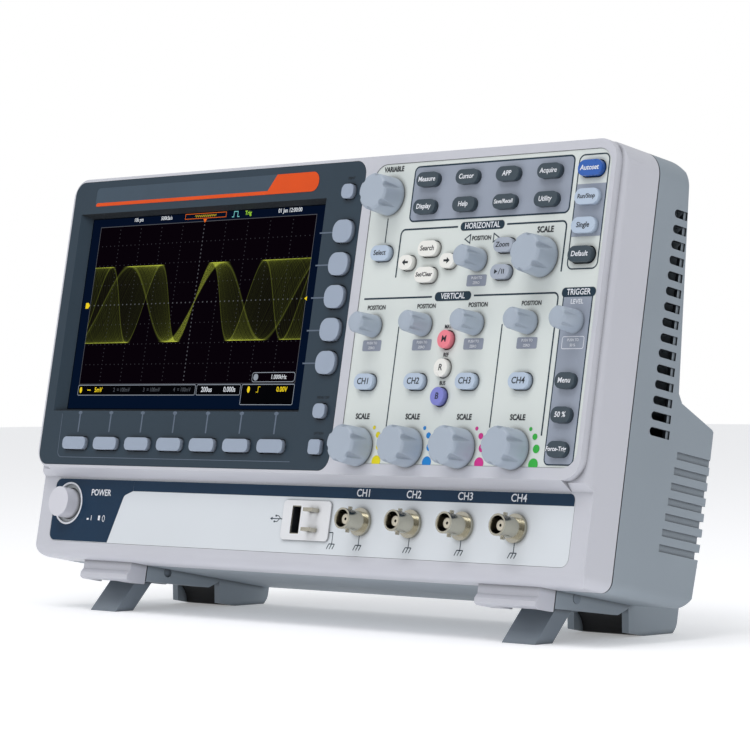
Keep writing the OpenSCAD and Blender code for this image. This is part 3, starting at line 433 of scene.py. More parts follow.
def vent_faces(c, n):
    """Painted shade for the inside of the right wall and for the walls of its vent slots."""
    inner_skin = n.x < -0.9 and COVER[1] - 6.0 < c.x < COVER[1] - SKIN and c.z > 60
    slot_wall = abs(n.x) < 0.3 and c.x > COVER[1] - SKIN - 0.2 and 40 < c.y < 56 and 62 < c.z < 190
    return int(inner_skin or slot_wall)


paint("rear_cover", [INK["shadow"]], vent_faces)
TERMINALS = cbox("front_terminals")
JACKS = cbox("bnc_jacks")
JACK_Z = (JACKS[4] + JACKS[5]) / 2


def terminal_faces(c, n):
    """Nickel for the test hooks and the USB socket's rim, painted shade for the socket's inside."""
    dx = c.x - (TERMINALS[0] + TERMINALS[1]) / 2
    if dx > 1.5 and c.y < INPUT[2] - 1.0:
        return 1                            # test hooks
    if -10.1 < dx < -3.9 and abs(c.z - JACK_Z) < 7.1 and c.y > INPUT[2] - 0.8:
        return 1 if c.y < INPUT[2] - 0.5 and n.y < -0.5 else 2      # rim of the USB socket, and inside
    return 0


def jack_faces(c, n):
    """Pale insulator round the centre socket, painted shade at the bottom of the bore."""
    r = math.hypot(c.x - min(CHX, key=lambda x: abs(x - c.x)), c.z - JACK_Z)
    if 0.72 < r < 2.45 and c.y < INPUT[2] - 2.5:
        return 1                            # insulator
    if r < 4.0 and n.y < -0.5:
        return 2                            # bottom of the bore
    return 0


paint("front_terminals", [M["nickel"], INK["shadow"]], terminal_faces)
paint("bnc_jacks", [M["insulator"], INK["shadow"]], jack_faces)
NODES["power_button"].data.materials.clear()
NODES["power_button"].data.materials.append(M["button_white"])

# ------------------------------------------------------------------ printed graphics


def corner_arc(p0, p1, p2, r, steps, limit):
    """Points of the arc that rounds the corner p1; limit keeps it within half of each side."""
    a, b = (p0 - p1).normalized(), (p2 - p1).normalized()
    half = math.acos(max(-1, min(1, a.dot(b)))) / 2
    if r <= 0 or half < 0.01:
        return [tuple(p1)]
    d = r / math.tan(half)
    if limit:
        d = min(d, (p0 - p1).length / 2, (p2 - p1).length / 2)
        r = d * math.tan(half)
    c = p1 + (a + b).normalized() * (r / math.sin(half))
    start, end = p1 + a * d - c, p1 + b * d - c
    a0, a1 = math.atan2(start.y, start.x), math.atan2(end.y, end.x)
    while a1 - a0 > math.pi:
        a1 -= 2 * math.pi
    while a1 - a0 < -math.pi:
        a1 += 2 * math.pi
    angles = [a0 + (a1 - a0) * k / steps for k in range(steps + 1)]
    return [(c.x + r * math.cos(t), c.y + r * math.sin(t)) for t in angles]


def arc_corners(points, radii, steps=6):
    """Rounds the corners of a closed outline [(x, z)]; radii is one number, or one per corner."""
    n = len(points)
    if not isinstance(radii, (list, tuple)):
        radii = [radii] * n
    out = []
    for i in range(n):
        p0, p1, p2 = (Vector(points[(i + k) % n]) for k in (-1, 0, 1))
        out += corner_arc(p0, p1, p2, radii[i], steps, True)
    return out


def open_corners(points, r, steps=6):
    """Rounds the inner corners of an open line."""
    out = [points[0]]
    for i in range(1, len(points) - 1):
        out += corner_arc(*(Vector(points[i + k]) for k in (-1, 0, 1)), r, steps, False)
    out.append(points[-1])
    return out


def rect(x0, x1, z0, z1, r=0.0):
    corners = [(x0, z0), (x1, z0), (x1, z1), (x0, z1)]
    return arc_corners(corners, r) if r else corners


def disc(x, z, rx, rz=None, n=28):
    """Outline of a disc, or of an oval when rz is given."""
    rz = rz or rx
    angles = [2 * math.pi * i / n for i in range(n)]
    return [(x + rx * math.cos(t), z + rz * math.sin(t)) for t in angles]


def stroke(points, width, closed=False):
    """Outline pieces (quads) of a line of that width."""
    pts = [Vector(p) for p in points]
    n = len(pts)
    left, right = [], []
    for i in range(n):
        a = pts[i - 1] if (closed or i > 0) else None
        b = pts[(i + 1) % n] if (closed or i < n - 1) else None
        d1 = (pts[i] - a).normalized() if a is not None else None
        d2 = (b - pts[i]).normalized() if b is not None else None
        d1 = d1 or d2
        d2 = d2 or d1
        t = (d1 + d2).normalized()
        nrm = Vector((-t.y, t.x))
        k = 1 / max(0.35, nrm.dot(Vector((-d1.y, d1.x))))
        left.append(pts[i] + nrm * width / 2 * k)
        right.append(pts[i] - nrm * width / 2 * k)
    quads = []
    for i in range(n if closed else n - 1):
        j = (i + 1) % n
        quads.append([tuple(left[i]), tuple(right[i]), tuple(right[j]), tuple(left[j])])
    return quads


class Print:
    """Collects flat shapes on planes parallel to the front and makes one thin mesh of them."""

    def __init__(self, name, material, body="body"):
        self.name, self.material, self.body = name, material, body
        self.faces = []

    def shape(self, outline, y, hole=None):
        """Filled outline at depth y, or the band between it and a hole with as many points."""
        if hole is None:
            self.faces.append([(p[0], y, p[1]) for p in outline])
        else:
            n = len(outline)
            for i in range(n):
                j = (i + 1) % n
                self.faces.append([(outline[i][0], y, outline[i][1]), (outline[j][0], y, outline[j][1]),
                                   (hole[j][0], y, hole[j][1]), (hole[i][0], y, hole[i][1])])

    def line(self, points, width, y, closed=False):
        for q in stroke(points, width, closed):
            self.shape(q, y)

    def build(self):
        mesh = bpy.data.meshes.new(self.name)
        verts, faces = [], []
        for f in self.faces:
            k = len(verts)
            verts += [w(*p) for p in f]
            faces.append(list(range(k, k + len(f))))
        mesh.from_pydata(verts, [], faces)
        mesh.update()
        out = w(0, -1, 0) - w(0, 0, 0)
        bm = bmesh.new()
        bm.from_mesh(mesh)
        for face in bm.faces:
            face.normal_update()
            if face.normal.dot(out) < 0:
                face.normal_flip()
        bm.to_mesh(mesh)
        bm.free()
        mesh.materials.append(self.material)
        o = bpy.data.objects.new(self.name, mesh)
        bpy.context.scene.collection.objects.link(o)
        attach(o, self.body)
        return o


PRINTS = {}


def pr(key, colour, body="body"):
    """The print of that name, started on first use."""
    if key not in PRINTS:
        PRINTS[key] = Print(key, INK[colour] if isinstance(colour, str) else colour, body)
    return PRINTS[key]


CAPITAL = 0.72              # height of a capital as a share of the font's size


def label(name, text, x, z, y, size, colour, body="body", bold=0.0, squeeze=0.86, slant=0.0):
    """Generic function word, printed flat; size is the height of a capital in mm."""
    cu = bpy.data.curves.new(name, "FONT")
    cu.body = text
    cu.size = size / 1000 / CAPITAL
    cu.align_x = "CENTER"
    cu.align_y = "CENTER"
    cu.offset = bold / 1000
    cu.shear = slant
    cu.resolution_u = 3
    cu.fill_mode = "BOTH"
    cu.extrude = 0.000012
    tmp = bpy.data.objects.new(name + "_tmp", cu)
    bpy.context.scene.collection.objects.link(tmp)
    bpy.context.view_layer.update()
    dg = bpy.context.evaluated_depsgraph_get()
    mesh = bpy.data.meshes.new_from_object(tmp.evaluated_get(dg))
    mesh.name = name
    bpy.data.objects.remove(tmp)
    right = w(1, 0, 0) - w(0, 0, 0)
    up = w(0, 0, 1) - w(0, 0, 0)
    out = w(0, -1, 0) - w(0, 0, 0)
    at = w(x, y, z)
    for v in mesh.vertices:
        c = v.co * 1000.0
        v.co = at + right * (c.x * squeeze) + up * c.y + out * c.z
    mesh.materials.clear()
    mesh.materials.append(INK[colour] if isinstance(colour, str) else colour)
    o = bpy.data.objects.new(name, mesh)
    bpy.context.scene.collection.objects.link(o)
    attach(o, body)
    return o


# Depths of the printing on the control fascia, one ink over another, and widths of its lines
FY = FASCIA[2] - 0.05
LINES_Y = FY - 0.03
PILLS_Y = FY - 0.06
WORDS_Y = FY - 0.07
PILL_WORDS_Y = FY - 0.10
LINE = 0.75
CORNER = 2.6
panels = pr("print_panels", "grey")
lines = pr("print_lines", "slate")


def framed(outline, width):
    """Grey panel with a dark line round it."""
    panels.shape(outline, FY)
    lines.line(outline, width, LINES_Y, closed=True)


# --- panels behind the function keys and the trigger keys
fkeys = cbox("function_keys")
framed(rect(VAR_X + 14.3, HSCALE_X + 12.2, H_Z + 20.0, H_Z + 46.0, CORNER), LINE)
framed(arc_corners(rect(RIGHT_X - 8.6, RIGHT_X + 8.3, SCALE_Z - 6.4, LEVEL_Z + 12.0),
                   [CORNER, CORNER, 0.4, 0.4]), LINE * 0.8)

# --- autoset column: a frame, with a grey band behind run/stop and single
column = (RIGHT_X - 8.8, RIGHT_X + 8.8)
band = (middle("key_single")[1] - 4.6, middle("key_run_stop")[1] + 6.2)
panels.shape(rect(*column, *band), FY)
lines.line(rect(*column, middle("key_default")[1] - 6.2, middle("key_autoset")[1] + 6.6, 3.0), LINE * 0.75,
           LINES_Y, closed=True)

# --- horizontal group
hz = H_Z + 16.2
hx0, hx1 = VAR_X + 10.0, HSCALE_X + 11.9
lines.line(open_corners([(hx0, H_Z - 6.5), (hx0, hz), (HPOS_X - 16.0, hz)], CORNER), LINE, LINES_Y)
lines.line(open_corners([(HPOS_X + 14.8, hz), (hx1, hz), (hx1, H_Z - 6.8)], CORNER), LINE, LINES_Y)
pr("print_pills", "slate").shape(rect(HPOS_X - 14.2, HPOS_X + 13.2, hz - 2.0, hz + 2.0, 1.9), PILLS_Y)

# --- vertical group
vz = LEVEL_Z + 13.3
vx1 = CHX[3] + 15.4
lines.line([(CHX[0] - 9.0, vz), (CHX[0] + 35.3, vz)], LINE, LINES_Y)
lines.line(open_corners([(CHX[0] + 62.0, vz), (vx1, vz), (vx1, SCALE_Z + 6.4)], CORNER), LINE, LINES_Y)
for x0, x1, y in ((CHX[0] + 37.3, CHX[0] + 60.2, PILLS_Y), (RIGHT_X - 9.9, RIGHT_X + 9.9, FY - 0.09)):
    pr("print_pills", "slate").shape(rect(x0, x1, vz - 2.1, vz + 2.1, 2.0), y)
for x in ((CHX[0] + CHX[1]) / 2, (CHX[2] + CHX[3]) / 2):
    lines.line([(x, SCALE_Z + 9.8), (x, LEVEL_Z - 0.3)], LINE * 0.8, LINES_Y)
lines.line([(VAR_X, VAR_Z - 22.0), (VAR_X, VAR_Z - 10.4)], LINE * 0.75, LINES_Y)

# --- boxes under the position knobs, dots round the scale knobs (right, up, radius)
DOTS = ((8.7, 9.3, 0.9), (11.7, 5.9, 1.4), (13.3, 0.5, 1.9), (12.5, -6.5, 2.75))
for i, (x, colour) in enumerate(zip(CHX, ("yellow", "blue", "pink", "green"))):
    pr("print_boxes", "softgrey").shape(rect(x - 6.1, x + 6.1, LEVEL_Z - 11.7, LEVEL_Z - 6.5, 0.8), FY)
    for dx, dz, r in DOTS:
        pr("print_dots_%d" % (i + 1), colour).shape(disc(x + dx, SCALE_Z + dz, r * 1.02, r), LINES_Y)
pr("print_boxes", "softgrey").shape(rect(HPOS_X - 6.1, HPOS_X + 6.1, H_Z - 12.0, H_Z - 6.7, 0.8), FY)
pr("print_boxlines", "white").line(rect(RIGHT_X - 6.3, RIGHT_X + 6.3, LEVEL_Z - 12.0, LEVEL_Z - 6.6, 0.8),
                                   0.3, LINES_Y, closed=True)
# direction arrows of the horizontal position knob
for tip, base in ((-10.6, -7.2), (10.8, 7.4)):
    lines.line([(HPOS_X + tip, H_Z + 10.2), (HPOS_X + base, H_Z + 12.2), (HPOS_X + base, H_Z + 8.2)], 0.5, FY,
               closed=True)

# --- words on the fascia
label("word_variable", "VARIABLE", VAR_X, VAR_Z + 13.2, WORDS_Y, 2.5, "black", bold=0.07)
for name, x, z, y in (("horizontal", HPOS_X - 0.5, hz, PILL_WORDS_Y),
                      ("vertical", CHX[0] + 48.8, vz, PILL_WORDS_Y), ("trigger", RIGHT_X, vz, FY - 0.13)):
    label("word_" + name, name.upper(), x, z, y, 2.75, "white", bold=0.06, squeeze=0.9)
label("word_level", "LEVEL", RIGHT_X - 0.4, LEVEL_Z + 9.0, WORDS_Y, 2.2, "white", bold=0.05, squeeze=0.95)
label("word_scale_h", "SCALE", HSCALE_X - 0.4, H_Z + 12.7, WORDS_Y, 2.8, "black", bold=0.08, squeeze=0.9)
label("word_position_h", "POSITION", HPOS_X - 0.1, H_Z + 10.3, WORDS_Y, 2.1, "black", bold=0.03,
      squeeze=0.92)
for i, x in enumerate(CHX, 1):
    label("word_position_%d" % i, "POSITION", x, LEVEL_Z + 8.9, WORDS_Y, 2.1, "black", bold=0.03,
          squeeze=0.92)
    label("word_scale_%d" % i, "SCALE", x, SCALE_Z + 14.4, WORDS_Y, 2.6, "black", bold=0.08, squeeze=0.9)
for text, key, dz in (("MATH", "key_math", 6.2), ("REF", "key_reference", 6.3), ("BUS", "key_bus", 6.4)):
    x, z = middle(key)
    label("word_" + text.lower(), text, x, z + dz, WORDS_Y, 1.8, "black", bold=0.02)

# --- what pressing a small knob does: two lines in the box under it
boxes = [(x, LEVEL_Z - 9.1, "ZERO") for x in CHX]
boxes += [(HPOS_X, H_Z - 9.35, "ZERO"), (RIGHT_X, LEVEL_Z - 9.3, "50 %")]
for i, (x, z, target) in enumerate(boxes):
    for row, (text, dz) in enumerate((("PUSH TO", 1.15), (target, -1.15))):
        label("word_push_%d_%d" % (i + 1, row), text, x, z + dz, WORDS_Y, 1.25, "white", bold=0.03,
              squeeze=0.95)

# --- words on the keys
ON_KEY = 0.03               # how far a key's ink stands in front of it
key_words = {
    "select": "Select", "search": "Search", "set_clear": "Set/Clear", "zoom": "Zoom", "autoset": "Autoset",
    "run_stop": "Run/Stop", "single": "Single", "default": "Default", "math": "M", "reference": "R",
    "bus": "B", "ch1": "CH1", "ch2": "CH2", "ch3": "CH3", "ch4": "CH4", "trigger_menu": "Menu",
    "trigger_half": "50 %", "trigger_force": "Force-Trig",
}
in_white = ("autoset", "default", "trigger_menu", "trigger_half", "trigger_force")
for name, text in key_words.items():
    key = "key_" + name
    x, z = middle(key)
    size = 3.0 if name.startswith("ch") or len(text) == 1 else (2.0 if len(text) > 7 else 2.4)
    label("word_on_" + key, text, x - 0.2, z, cbox(key)[2] - ON_KEY, size,
          "white" if name in in_white else "black", body=key, bold=0.055, slant=0.10, squeeze=1.0)
# the grid of function keys: middle of the first key from its corner, and the steps
words = (("Measure", "Cursor", "APP", "Acquire"), ("Display", "Help", "Save/Recall", "Utility"))
from_side, from_top = 7.9, 4.3
step_x = (fkeys[1] - fkeys[0] - 2 * from_side) / 3
step_z = fkeys[5] - fkeys[4] - 2 * from_top
for r, row in enumerate(words):
    for i, text in enumerate(row):
        label("word_on_function_%d_%d" % (r, i), text, fkeys[0] + from_side + step_x * i - 0.3,
              fkeys[5] - from_top - step_z * r, fkeys[2] - ON_KEY, 2.35 if len(text) < 9 else 1.9, "white",
              body="function_keys", bold=0.05, slant=0.10, squeeze=0.98)
# arrows and play/pause
for key, d in (("key_previous", -1), ("key_next", 1)):
    x, z = middle(key)
    y = cbox(key)[2] - 0.04
    arrow = pr("mark_" + key, "black", key)
    arrow.shape([(x + d * 2.0, z), (x + d * 0.2, z + 1.5), (x + d * 0.2, z - 1.5)], y)
    arrow.shape(rect(*sorted((x - d * 1.8, x + d * 0.3)), z - 0.5, z + 0.5), y)
x, z = middle("key_play")
y = cbox("key_play")[2] - 0.04
play = pr("mark_play", "black", "key_play")
play.shape([(x - 3.2, z + 1.1), (x - 3.2, z - 1.1), (x - 1.2, z)], y)
play.line([(x - 0.7, z - 1.4), (x + 0.5, z + 1.4)], 0.35, y)
for left in (1.2, 2.3):
    play.shape(rect(x + left, x + left + 0.5, z - 1.1, z + 1.1), y)

# ------------------------------------------------------------------ bezel graphics
BY = BEZEL[2] - 0.05
win = cbox("screen_window")
SX0, SX1, SZ0, SZ1 = win[0] + 4, win[1] - 4, win[4] + 4, win[5] - 4      # visible screen
SY = win[2]
soft = cbox("softkeys_bottom")
side = cbox("softkeys_side")
soft_z = (soft[4] + soft[5]) / 2
# glossy label strip over the screen, its orange stripe and its tab with a sloping end
left, right, low, high = SX0 + 6.0, SX1 - 2.2, SZ1 + 5.4, SZ1 + 15.2
tab, slope = right - 37.5, 7.2
pr("bezel_strip", "plate").shape(
    arc_corners([(left, low), (tab, low), (tab + slope, high), (left, high)], [2.6, 0, 0, 2.6]), BY)
pr("bezel_stripe", "orange").shape(
    arc_corners([(left, low), (tab + 3, low), (tab + 3, low + 1.8), (left + 1.2, low + 1.8)],
                [1.7, 0, 0, 0.8]), BY - 0.04)
pr("bezel_tab", "orange").shape(
    arc_corners([(tab, low), (right, low), (right, high), (tab + slope, high)],
                [0.0, 4.6, 4.6, 0.6], 10), BY - 0.08)
# guide lines from the screen's edge to each soft key, printed flat in a lighter ink: a painted highlight
# standing in for raised ridges that catch the light
pitch = (soft[1] - soft[0] - 19.8) / 6
x_first = soft[0] + 9.9
guides = pr("bezel_guides", "ridge_highlight")
for i in range(7):
    x = x_first + pitch * i
    guides.line([(x, soft_z + 6.0), (x, SZ0 - 3.0)], 1.0, BY)
    guides.shape(disc(x, SZ0 - 2.6, 1.6, 0.9), BY - 0.01)
guides.line(open_corners([(SX1 + 3.0, soft_z - 7.2), (x_first - 14.2, soft_z - 7.2),
                          (x_first - 14.6, SZ0 - 3.2)], 3.2), 0.35, BY)
side_pitch = (side[5] - side[4] - 12.8) / 4
for i in range(5):
    z = side[5] - 6.4 - side_pitch * i
    guides.line([(side[0] - 0.8, z), (SX1 + 3.0, z)], 0.7, BY)
for key, text in (("key_hardcopy", "PRINT"), ("key_menu_off", "MENU OFF"), ("key_option", "OPTION")):
    x, z = middle(key)
    label("word_over_" + key, text, x, z + 6.6, BY, 1.4, "black", squeeze=0.9)

# ------------------------------------------------------------------ input panel graphics
IY = INPUT[2] - 0.05
MARKS_Y = IY - 0.05
power_x, power_z = middle("power_button")
nx0, nx1, nz0, nz1 = INPUT[0] + 0.25, INPUT[1] - 0.25, INPUT[4] + 0.25, INPUT[5] - 0.25
navy = pr("navy_band", "navy")
band_z = nz1 - 5.4
ring_r = 10.1
# block on the left, with a round hole for the power button
left_end_top, left_end_bottom = nx0 + 56.6, nx0 + 46.8
block = arc_corners([(nx0, nz0), (left_end_bottom, nz0), (left_end_top - 1.0, band_z - 2.4),
                     (left_end_top + 5.5, band_z), (left_end_top + 5.6, nz1), (nx0, nz1)],
                    [4.0, 0, 3.0, 0, 0, 4.0], 8)


def cut_disc(outline, cx, cz, r, y, target, steps=48):
    """Fills an outline round a hole by joining rays from the hole's edge to the outline."""
    cen = Vector((cx, cz))
    pts = [Vector(p) for p in outline]

    def hit(a):
        d = Vector((math.cos(a), math.sin(a)))
        best = None
        for i in range(len(pts)):
            p, q = pts[i], pts[(i + 1) % len(pts)]
            e = q - p
            den = d.x * e.y - d.y * e.x
            if abs(den) < 1e-9:
                continue
            s = p - cen
            t = (s.x * e.y - s.y * e.x) / den
            u = (s.x * d.y - s.y * d.x) / den
            if t > 0 and -1e-6 <= u <= 1 + 1e-6 and (best is None or t > best):
                best = t
        return cen + d * best
    angles = {2 * math.pi * k / steps for k in range(steps)}
    for p in pts:
        angles.add(math.atan2(p.y - cz, p.x - cx) % (2 * math.pi))
    angles = sorted(angles)
    for k in range(len(angles)):
        a0, a1 = angles[k], angles[(k + 1) % len(angles)]
        target.shape([(cx + r * math.cos(a0), cz + r * math.sin(a0)), tuple(hit(a0)), tuple(hit(a1)),
                      (cx + r * math.cos(a1), cz + r * math.sin(a1))], y)


cut_disc(block, power_x, power_z, ring_r, IY, navy)
navy.shape(arc_corners(rect(left_end_top + 5.6, nx1, band_z, nz1), [0, 0, 4.6, 0]), IY)
# white ring round the button
ring = pr("power_ring", INK["white"])
ring.shape(disc(power_x, power_z, ring_r + 0.9, n=40), IY - 0.06, hole=disc(power_x, power_z, ring_r, n=40))
label("word_power", "POWER", power_x + 25.2, power_z + 5.9, MARKS_Y, 3.3, "white", bold=0.08, squeeze=0.98)
gx, gz = power_x + 17.4, power_z - 7.2
marks = pr("power_marks", INK["white"])
marks.shape(rect(gx - 0.9, gx + 0.7, gz - 1.0, gz - 0.1), MARKS_Y)
marks.shape(rect(gx + 2.4, gx + 2.8, gz - 1.2, gz + 1.4), MARKS_Y)
marks.shape(rect(gx + 8.0, gx + 9.6, gz - 1.0, gz + 1.4), MARKS_Y)
marks.line(disc(gx + 12.4, gz, 0.9, 1.5, 18), 0.35, MARKS_Y, closed=True)
jacks = cbox("bnc_jacks")
JZ = (jacks[4] + jacks[5]) / 2
ground = pr("print_ground", "slate")


def ground_mark(x, z_top, z_bar):
    ground.line([(x, z_top), (x, z_bar)], 0.42, IY)
    ground.line([(x - 1.9, z_bar), (x + 1.9, z_bar)], 0.42, IY)
    for dx in (-1.9, 0.0, 1.9):
        ground.line([(x + dx, z_bar), (x + dx - 1.3, z_bar - 2.4)], 0.42, IY)


for i, x in enumerate(CHX, 1):
    label("word_ch%d" % i, "CH%d" % i, x - 0.4, (band_z + nz1) / 2, MARKS_Y, 3.6, "white", bold=0.06,
          squeeze=1.0)
    ground_mark(x, JZ - 6.2, JZ - 10.9)
term = cbox("front_terminals")
ground.line([(term[1] - 0.6, JZ - 5.5), (term[1] + 2.6, JZ - 5.5)], 0.42, IY)
ground_mark(term[1] + 2.6, JZ - 5.5, JZ - 10.9)
# fork sign for the USB socket, pointing left
fork_x, fork_z = term[0] - 4.6, JZ


def fork(*points):
    """Points given as (along the sign, across it), in mm."""
    return [(fork_x - along, fork_z + across) for along, across in points]


ground.line(fork((-4.0, 0), (3.4, 0)), 0.4, IY)
ground.line(fork((-1.8, 0), (-0.2, -1.4), (1.4, -1.4)), 0.35, IY)
ground.line(fork((-2.6, 0), (-1.0, 1.4), (0.4, 1.4)), 0.35, IY)
ground.shape(disc(fork_x + 4.2, fork_z, 0.8, n=16), IY)
ground.shape(fork((3.2, -0.8), (3.2, 0.8), (4.8, 0)), IY)
ground.shape(disc(fork_x - 1.7, fork_z - 1.4, 0.5, n=12), IY)
ground.shape(rect(fork_x - 1.3, fork_x - 0.4, fork_z + 0.95, fork_z + 1.85), IY)

for p in PRINTS.values():
    p.build()

# ------------------------------------------------------------------ display
# The trace family of a signal whose frequency wanders, triggered in the middle of the graticule.
GX0, GX1 = SX0 + 7.0, SX1 - 6.0          # graticule
GZ0, GZ1 = SZ0 + 13.0, SZ1 - 4.6
GXC, GZC = (GX0 + GX1) / 2, (GZ0 + GZ1) / 2
AMP, FAST, SLOW = 20.1, 1 / 39.0, 1 / 72.0    # amplitude in mm, cycles per mm


def display():
    t = Tree("display")
    bsdf = t.node("ShaderNodeBsdfPrincipled")
    bsdf.inputs["Base Color"].default_value = srgb(2, 2, 3)
    bsdf.inputs["Specular IOR Level"].default_value = 0.0
    em = t.node("ShaderNodeEmission")
    add = t.node("ShaderNodeAddShader")
    t.t.links.new(bsdf.outputs[0], add.inputs[0])
    t.t.links.new(em.outputs[0], add.inputs[1])
    t.t.links.new(add.outputs[0], t.out.inputs[0])
    co = t.node("ShaderNodeTexCoord").outputs["Object"]
    smear = t.noise(co, 60.0, 4.0)
    t.put(bsdf.inputs["Roughness"], t.ramp(smear, 0.3, 0.8, 0.16, 0.26))
    bump = t.node("ShaderNodeBump")
    bump.inputs["Strength"].default_value = 0.02
    bump.inputs["Distance"].default_value = 0.00003
    t.put(bump.inputs["Height"], t.noise(co, 3000.0, 1.0))
    t.t.links.new(bump.outputs[0], bsdf.inputs["Normal"])
    sep = t.node("ShaderNodeSeparateXYZ")
    t.t.links.new(co, sep.inputs[0])
    wx, wy, wz = sep.outputs
    # back to case millimetres
    x = t.math("MULTIPLY", wx, 1000.0)
    z = t.math("ADD", t.math("MULTIPLY", wy, 1000.0 * SIN), t.math("MULTIPLY", wz, 1000.0 * COS))
    z = t.math("SUBTRACT", z, Z0 * 1000 + UNDERSIDE)
    u = t.math("SUBTRACT", x, GXC)
    v = t.math("SUBTRACT", z, GZC)

    def times(a, b):
        return t.math("MULTIPLY", a, b)

    def inside(x0, x1, z0, z1):
        """1 inside a rectangle of the screen."""
        across = times(t.math("GREATER_THAN", x, x0), t.math("LESS_THAN", x, x1))
        return times(across, times(t.math("GREATER_THAN", z, z0), t.math("LESS_THAN", z, z1)))

    def near(a, step, reach):
        """1 where a is within reach of a whole number of steps."""
        return t.math("LESS_THAN", t.math("PINGPONG", a, step / 2), reach)

    def near_zero(a):
        return t.math("LESS_THAN", t.math("ABSOLUTE", a), 0.32)

    # dotted grid, five dots to a division, stronger on the two axes
    grat = inside(GX0, GX1, GZ0, GZ1)
    divx, divz = (GX1 - GX0) / 10, (GZ1 - GZ0) / 8
    vdots = times(near(u, divx, 0.26), near(v, divz / 5, 0.26))
    hdots = times(near(v, divz, 0.24), near(u, divx / 5, 0.26))
    axis_v = times(near_zero(u), near(v, divz / 5, 0.4))
    axis_h = times(near_zero(v), near(u, divx / 5, 0.4))
    dots = t.math("MAXIMUM", times(t.math("MAXIMUM", vdots, hdots), 0.07),
                  times(t.math("MAXIMUM", axis_v, axis_h), 0.15))
    # light frame round the graticule
    edge = t.math("SUBTRACT", 1.0, inside(GX0 + 0.3, GX1 - 0.3, GZ0 + 0.3, GZ1 - 0.3))
    rim = times(times(edge, grat), 0.16)

    # density of the trace family: for x > 0 the phase runs from slow to fast; x < 0 mirrors it
    au = t.math("MAXIMUM", t.math("ABSOLUTE", u), 0.05)
    sv = t.math("DIVIDE", times(v, t.math("SIGN", u)), AMP)
    body = t.math("LESS_THAN", t.math("ABSOLUTE", sv), 1.0)
    cl = t.math("MAXIMUM", t.math("MINIMUM", sv, 0.9999), -0.9999)
    asin = t.math("ARCSINE", cl)
    root = t.math("SQRT", t.math("SUBTRACT", 1.0, times(cl, cl)))
    lo = times(au, 2 * math.pi * SLOW)
    hi = times(au, 2 * math.pi * FAST)
    # how wide a drawn line is, measured as phase
    soft_w = t.math("DIVIDE", 0.055, t.math("MAXIMUM", root, 0.16))

    def trace(phase, at):
        """One drawn line, where the phase has a given value."""
        away = t.math("ABSOLUTE", t.math("SUBTRACT", phase, at))
        return t.math("SUBTRACT", 1.0, t.math("DIVIDE", away, times(soft_w, 1.25), clamp=True), clamp=True)

    total, rims = 0.0, 0.0
    for k in range(5):
        th = t.math("ADD", times(asin, 1.0 if k % 2 == 0 else -1.0), k * math.pi)
        a = t.ramp(t.math("SUBTRACT", th, lo), times(soft_w, -1.0), soft_w)
        b = t.ramp(t.math("SUBTRACT", hi, th), times(soft_w, -1.0), soft_w)
        # streaks that follow single traces: noise along the frequency of the trace
        n = t.node("ShaderNodeTexNoise", noise_dimensions="1D")
        t.put(n.inputs["W"], t.math("DIVIDE", th, au))
        n.inputs["Scale"].default_value = 900.0
        n.inputs["Detail"].default_value = 4.0
        n.inputs["Roughness"].default_value = 0.75
        streak = t.ramp(n.outputs["Fac"], 0.42, 0.62, 0.1, 2.2)
        piled = t.math("DIVIDE", 1.0, t.math("MAXIMUM", times(root, au), 5.0))
        dens = times(times(times(a, b), streak), t.math("ADD", 0.03, times(piled, 1.7)))
        total = t.math("ADD", total, dens)
        # the slowest and the fastest trace are drawn again, brighter
        rims = t.math("ADD", rims, t.math("ADD", trace(th, lo), trace(th, hi)))
    wave = t.math("ADD", total, times(rims, 0.24))
    # crest lines where all traces turn
    crest = times(t.ramp(t.math("ABSOLUTE", sv), 0.965, 0.992), t.ramp(total, 0.02, 0.25))
    wave = times(t.math("ADD", wave, times(crest, 0.25)), times(body, grat))
    wave = t.math("MINIMUM", wave, 1.15)
    # colours
    dark, bright = srgb(70, 80, 34), srgb(190, 200, 74)
    glow = t.mix(t.ramp(wave, 0.05, 1.0), dark, bright)
    navy = t.mix(t.ramp(z, SZ0, SZ1), srgb(4, 17, 38), srgb(4, 14, 34))
    black = srgb(6, 1, 6)
    back = t.mix(grat, navy, black)
    # dark edge of the panel
    panel = inside(SX0 + 0.5, SX1 - 0.5, SZ0 + 0.5, SZ1 - 0.5)
    back = t.mix(panel, srgb(4, 8, 16), back)
    # black bar under the graticule, deeper at its right end
    bar = inside(GX0, GX1, GZ0 - 5.6, GZ0 - 0.2)
    bar2 = inside(GX0 + 127.0, GX1, GZ0 - 10.4, GZ0 - 0.2)
    back = t.mix(t.math("MAXIMUM", bar, bar2), back, srgb(3, 3, 5))
    col = t.mix(t.math("MULTIPLY", wave, 1.0, clamp=True), back, glow)
    col = t.mix(times(t.math("MAXIMUM", dots, rim), grat), col, srgb(190, 195, 205))
    t.put(em.inputs["Color"], col)
    em.inputs["Strength"].default_value = 1.0
    return t.mat


NODES["screen_window"].data.materials.clear()
NODES["screen_window"].data.materials.append(display())

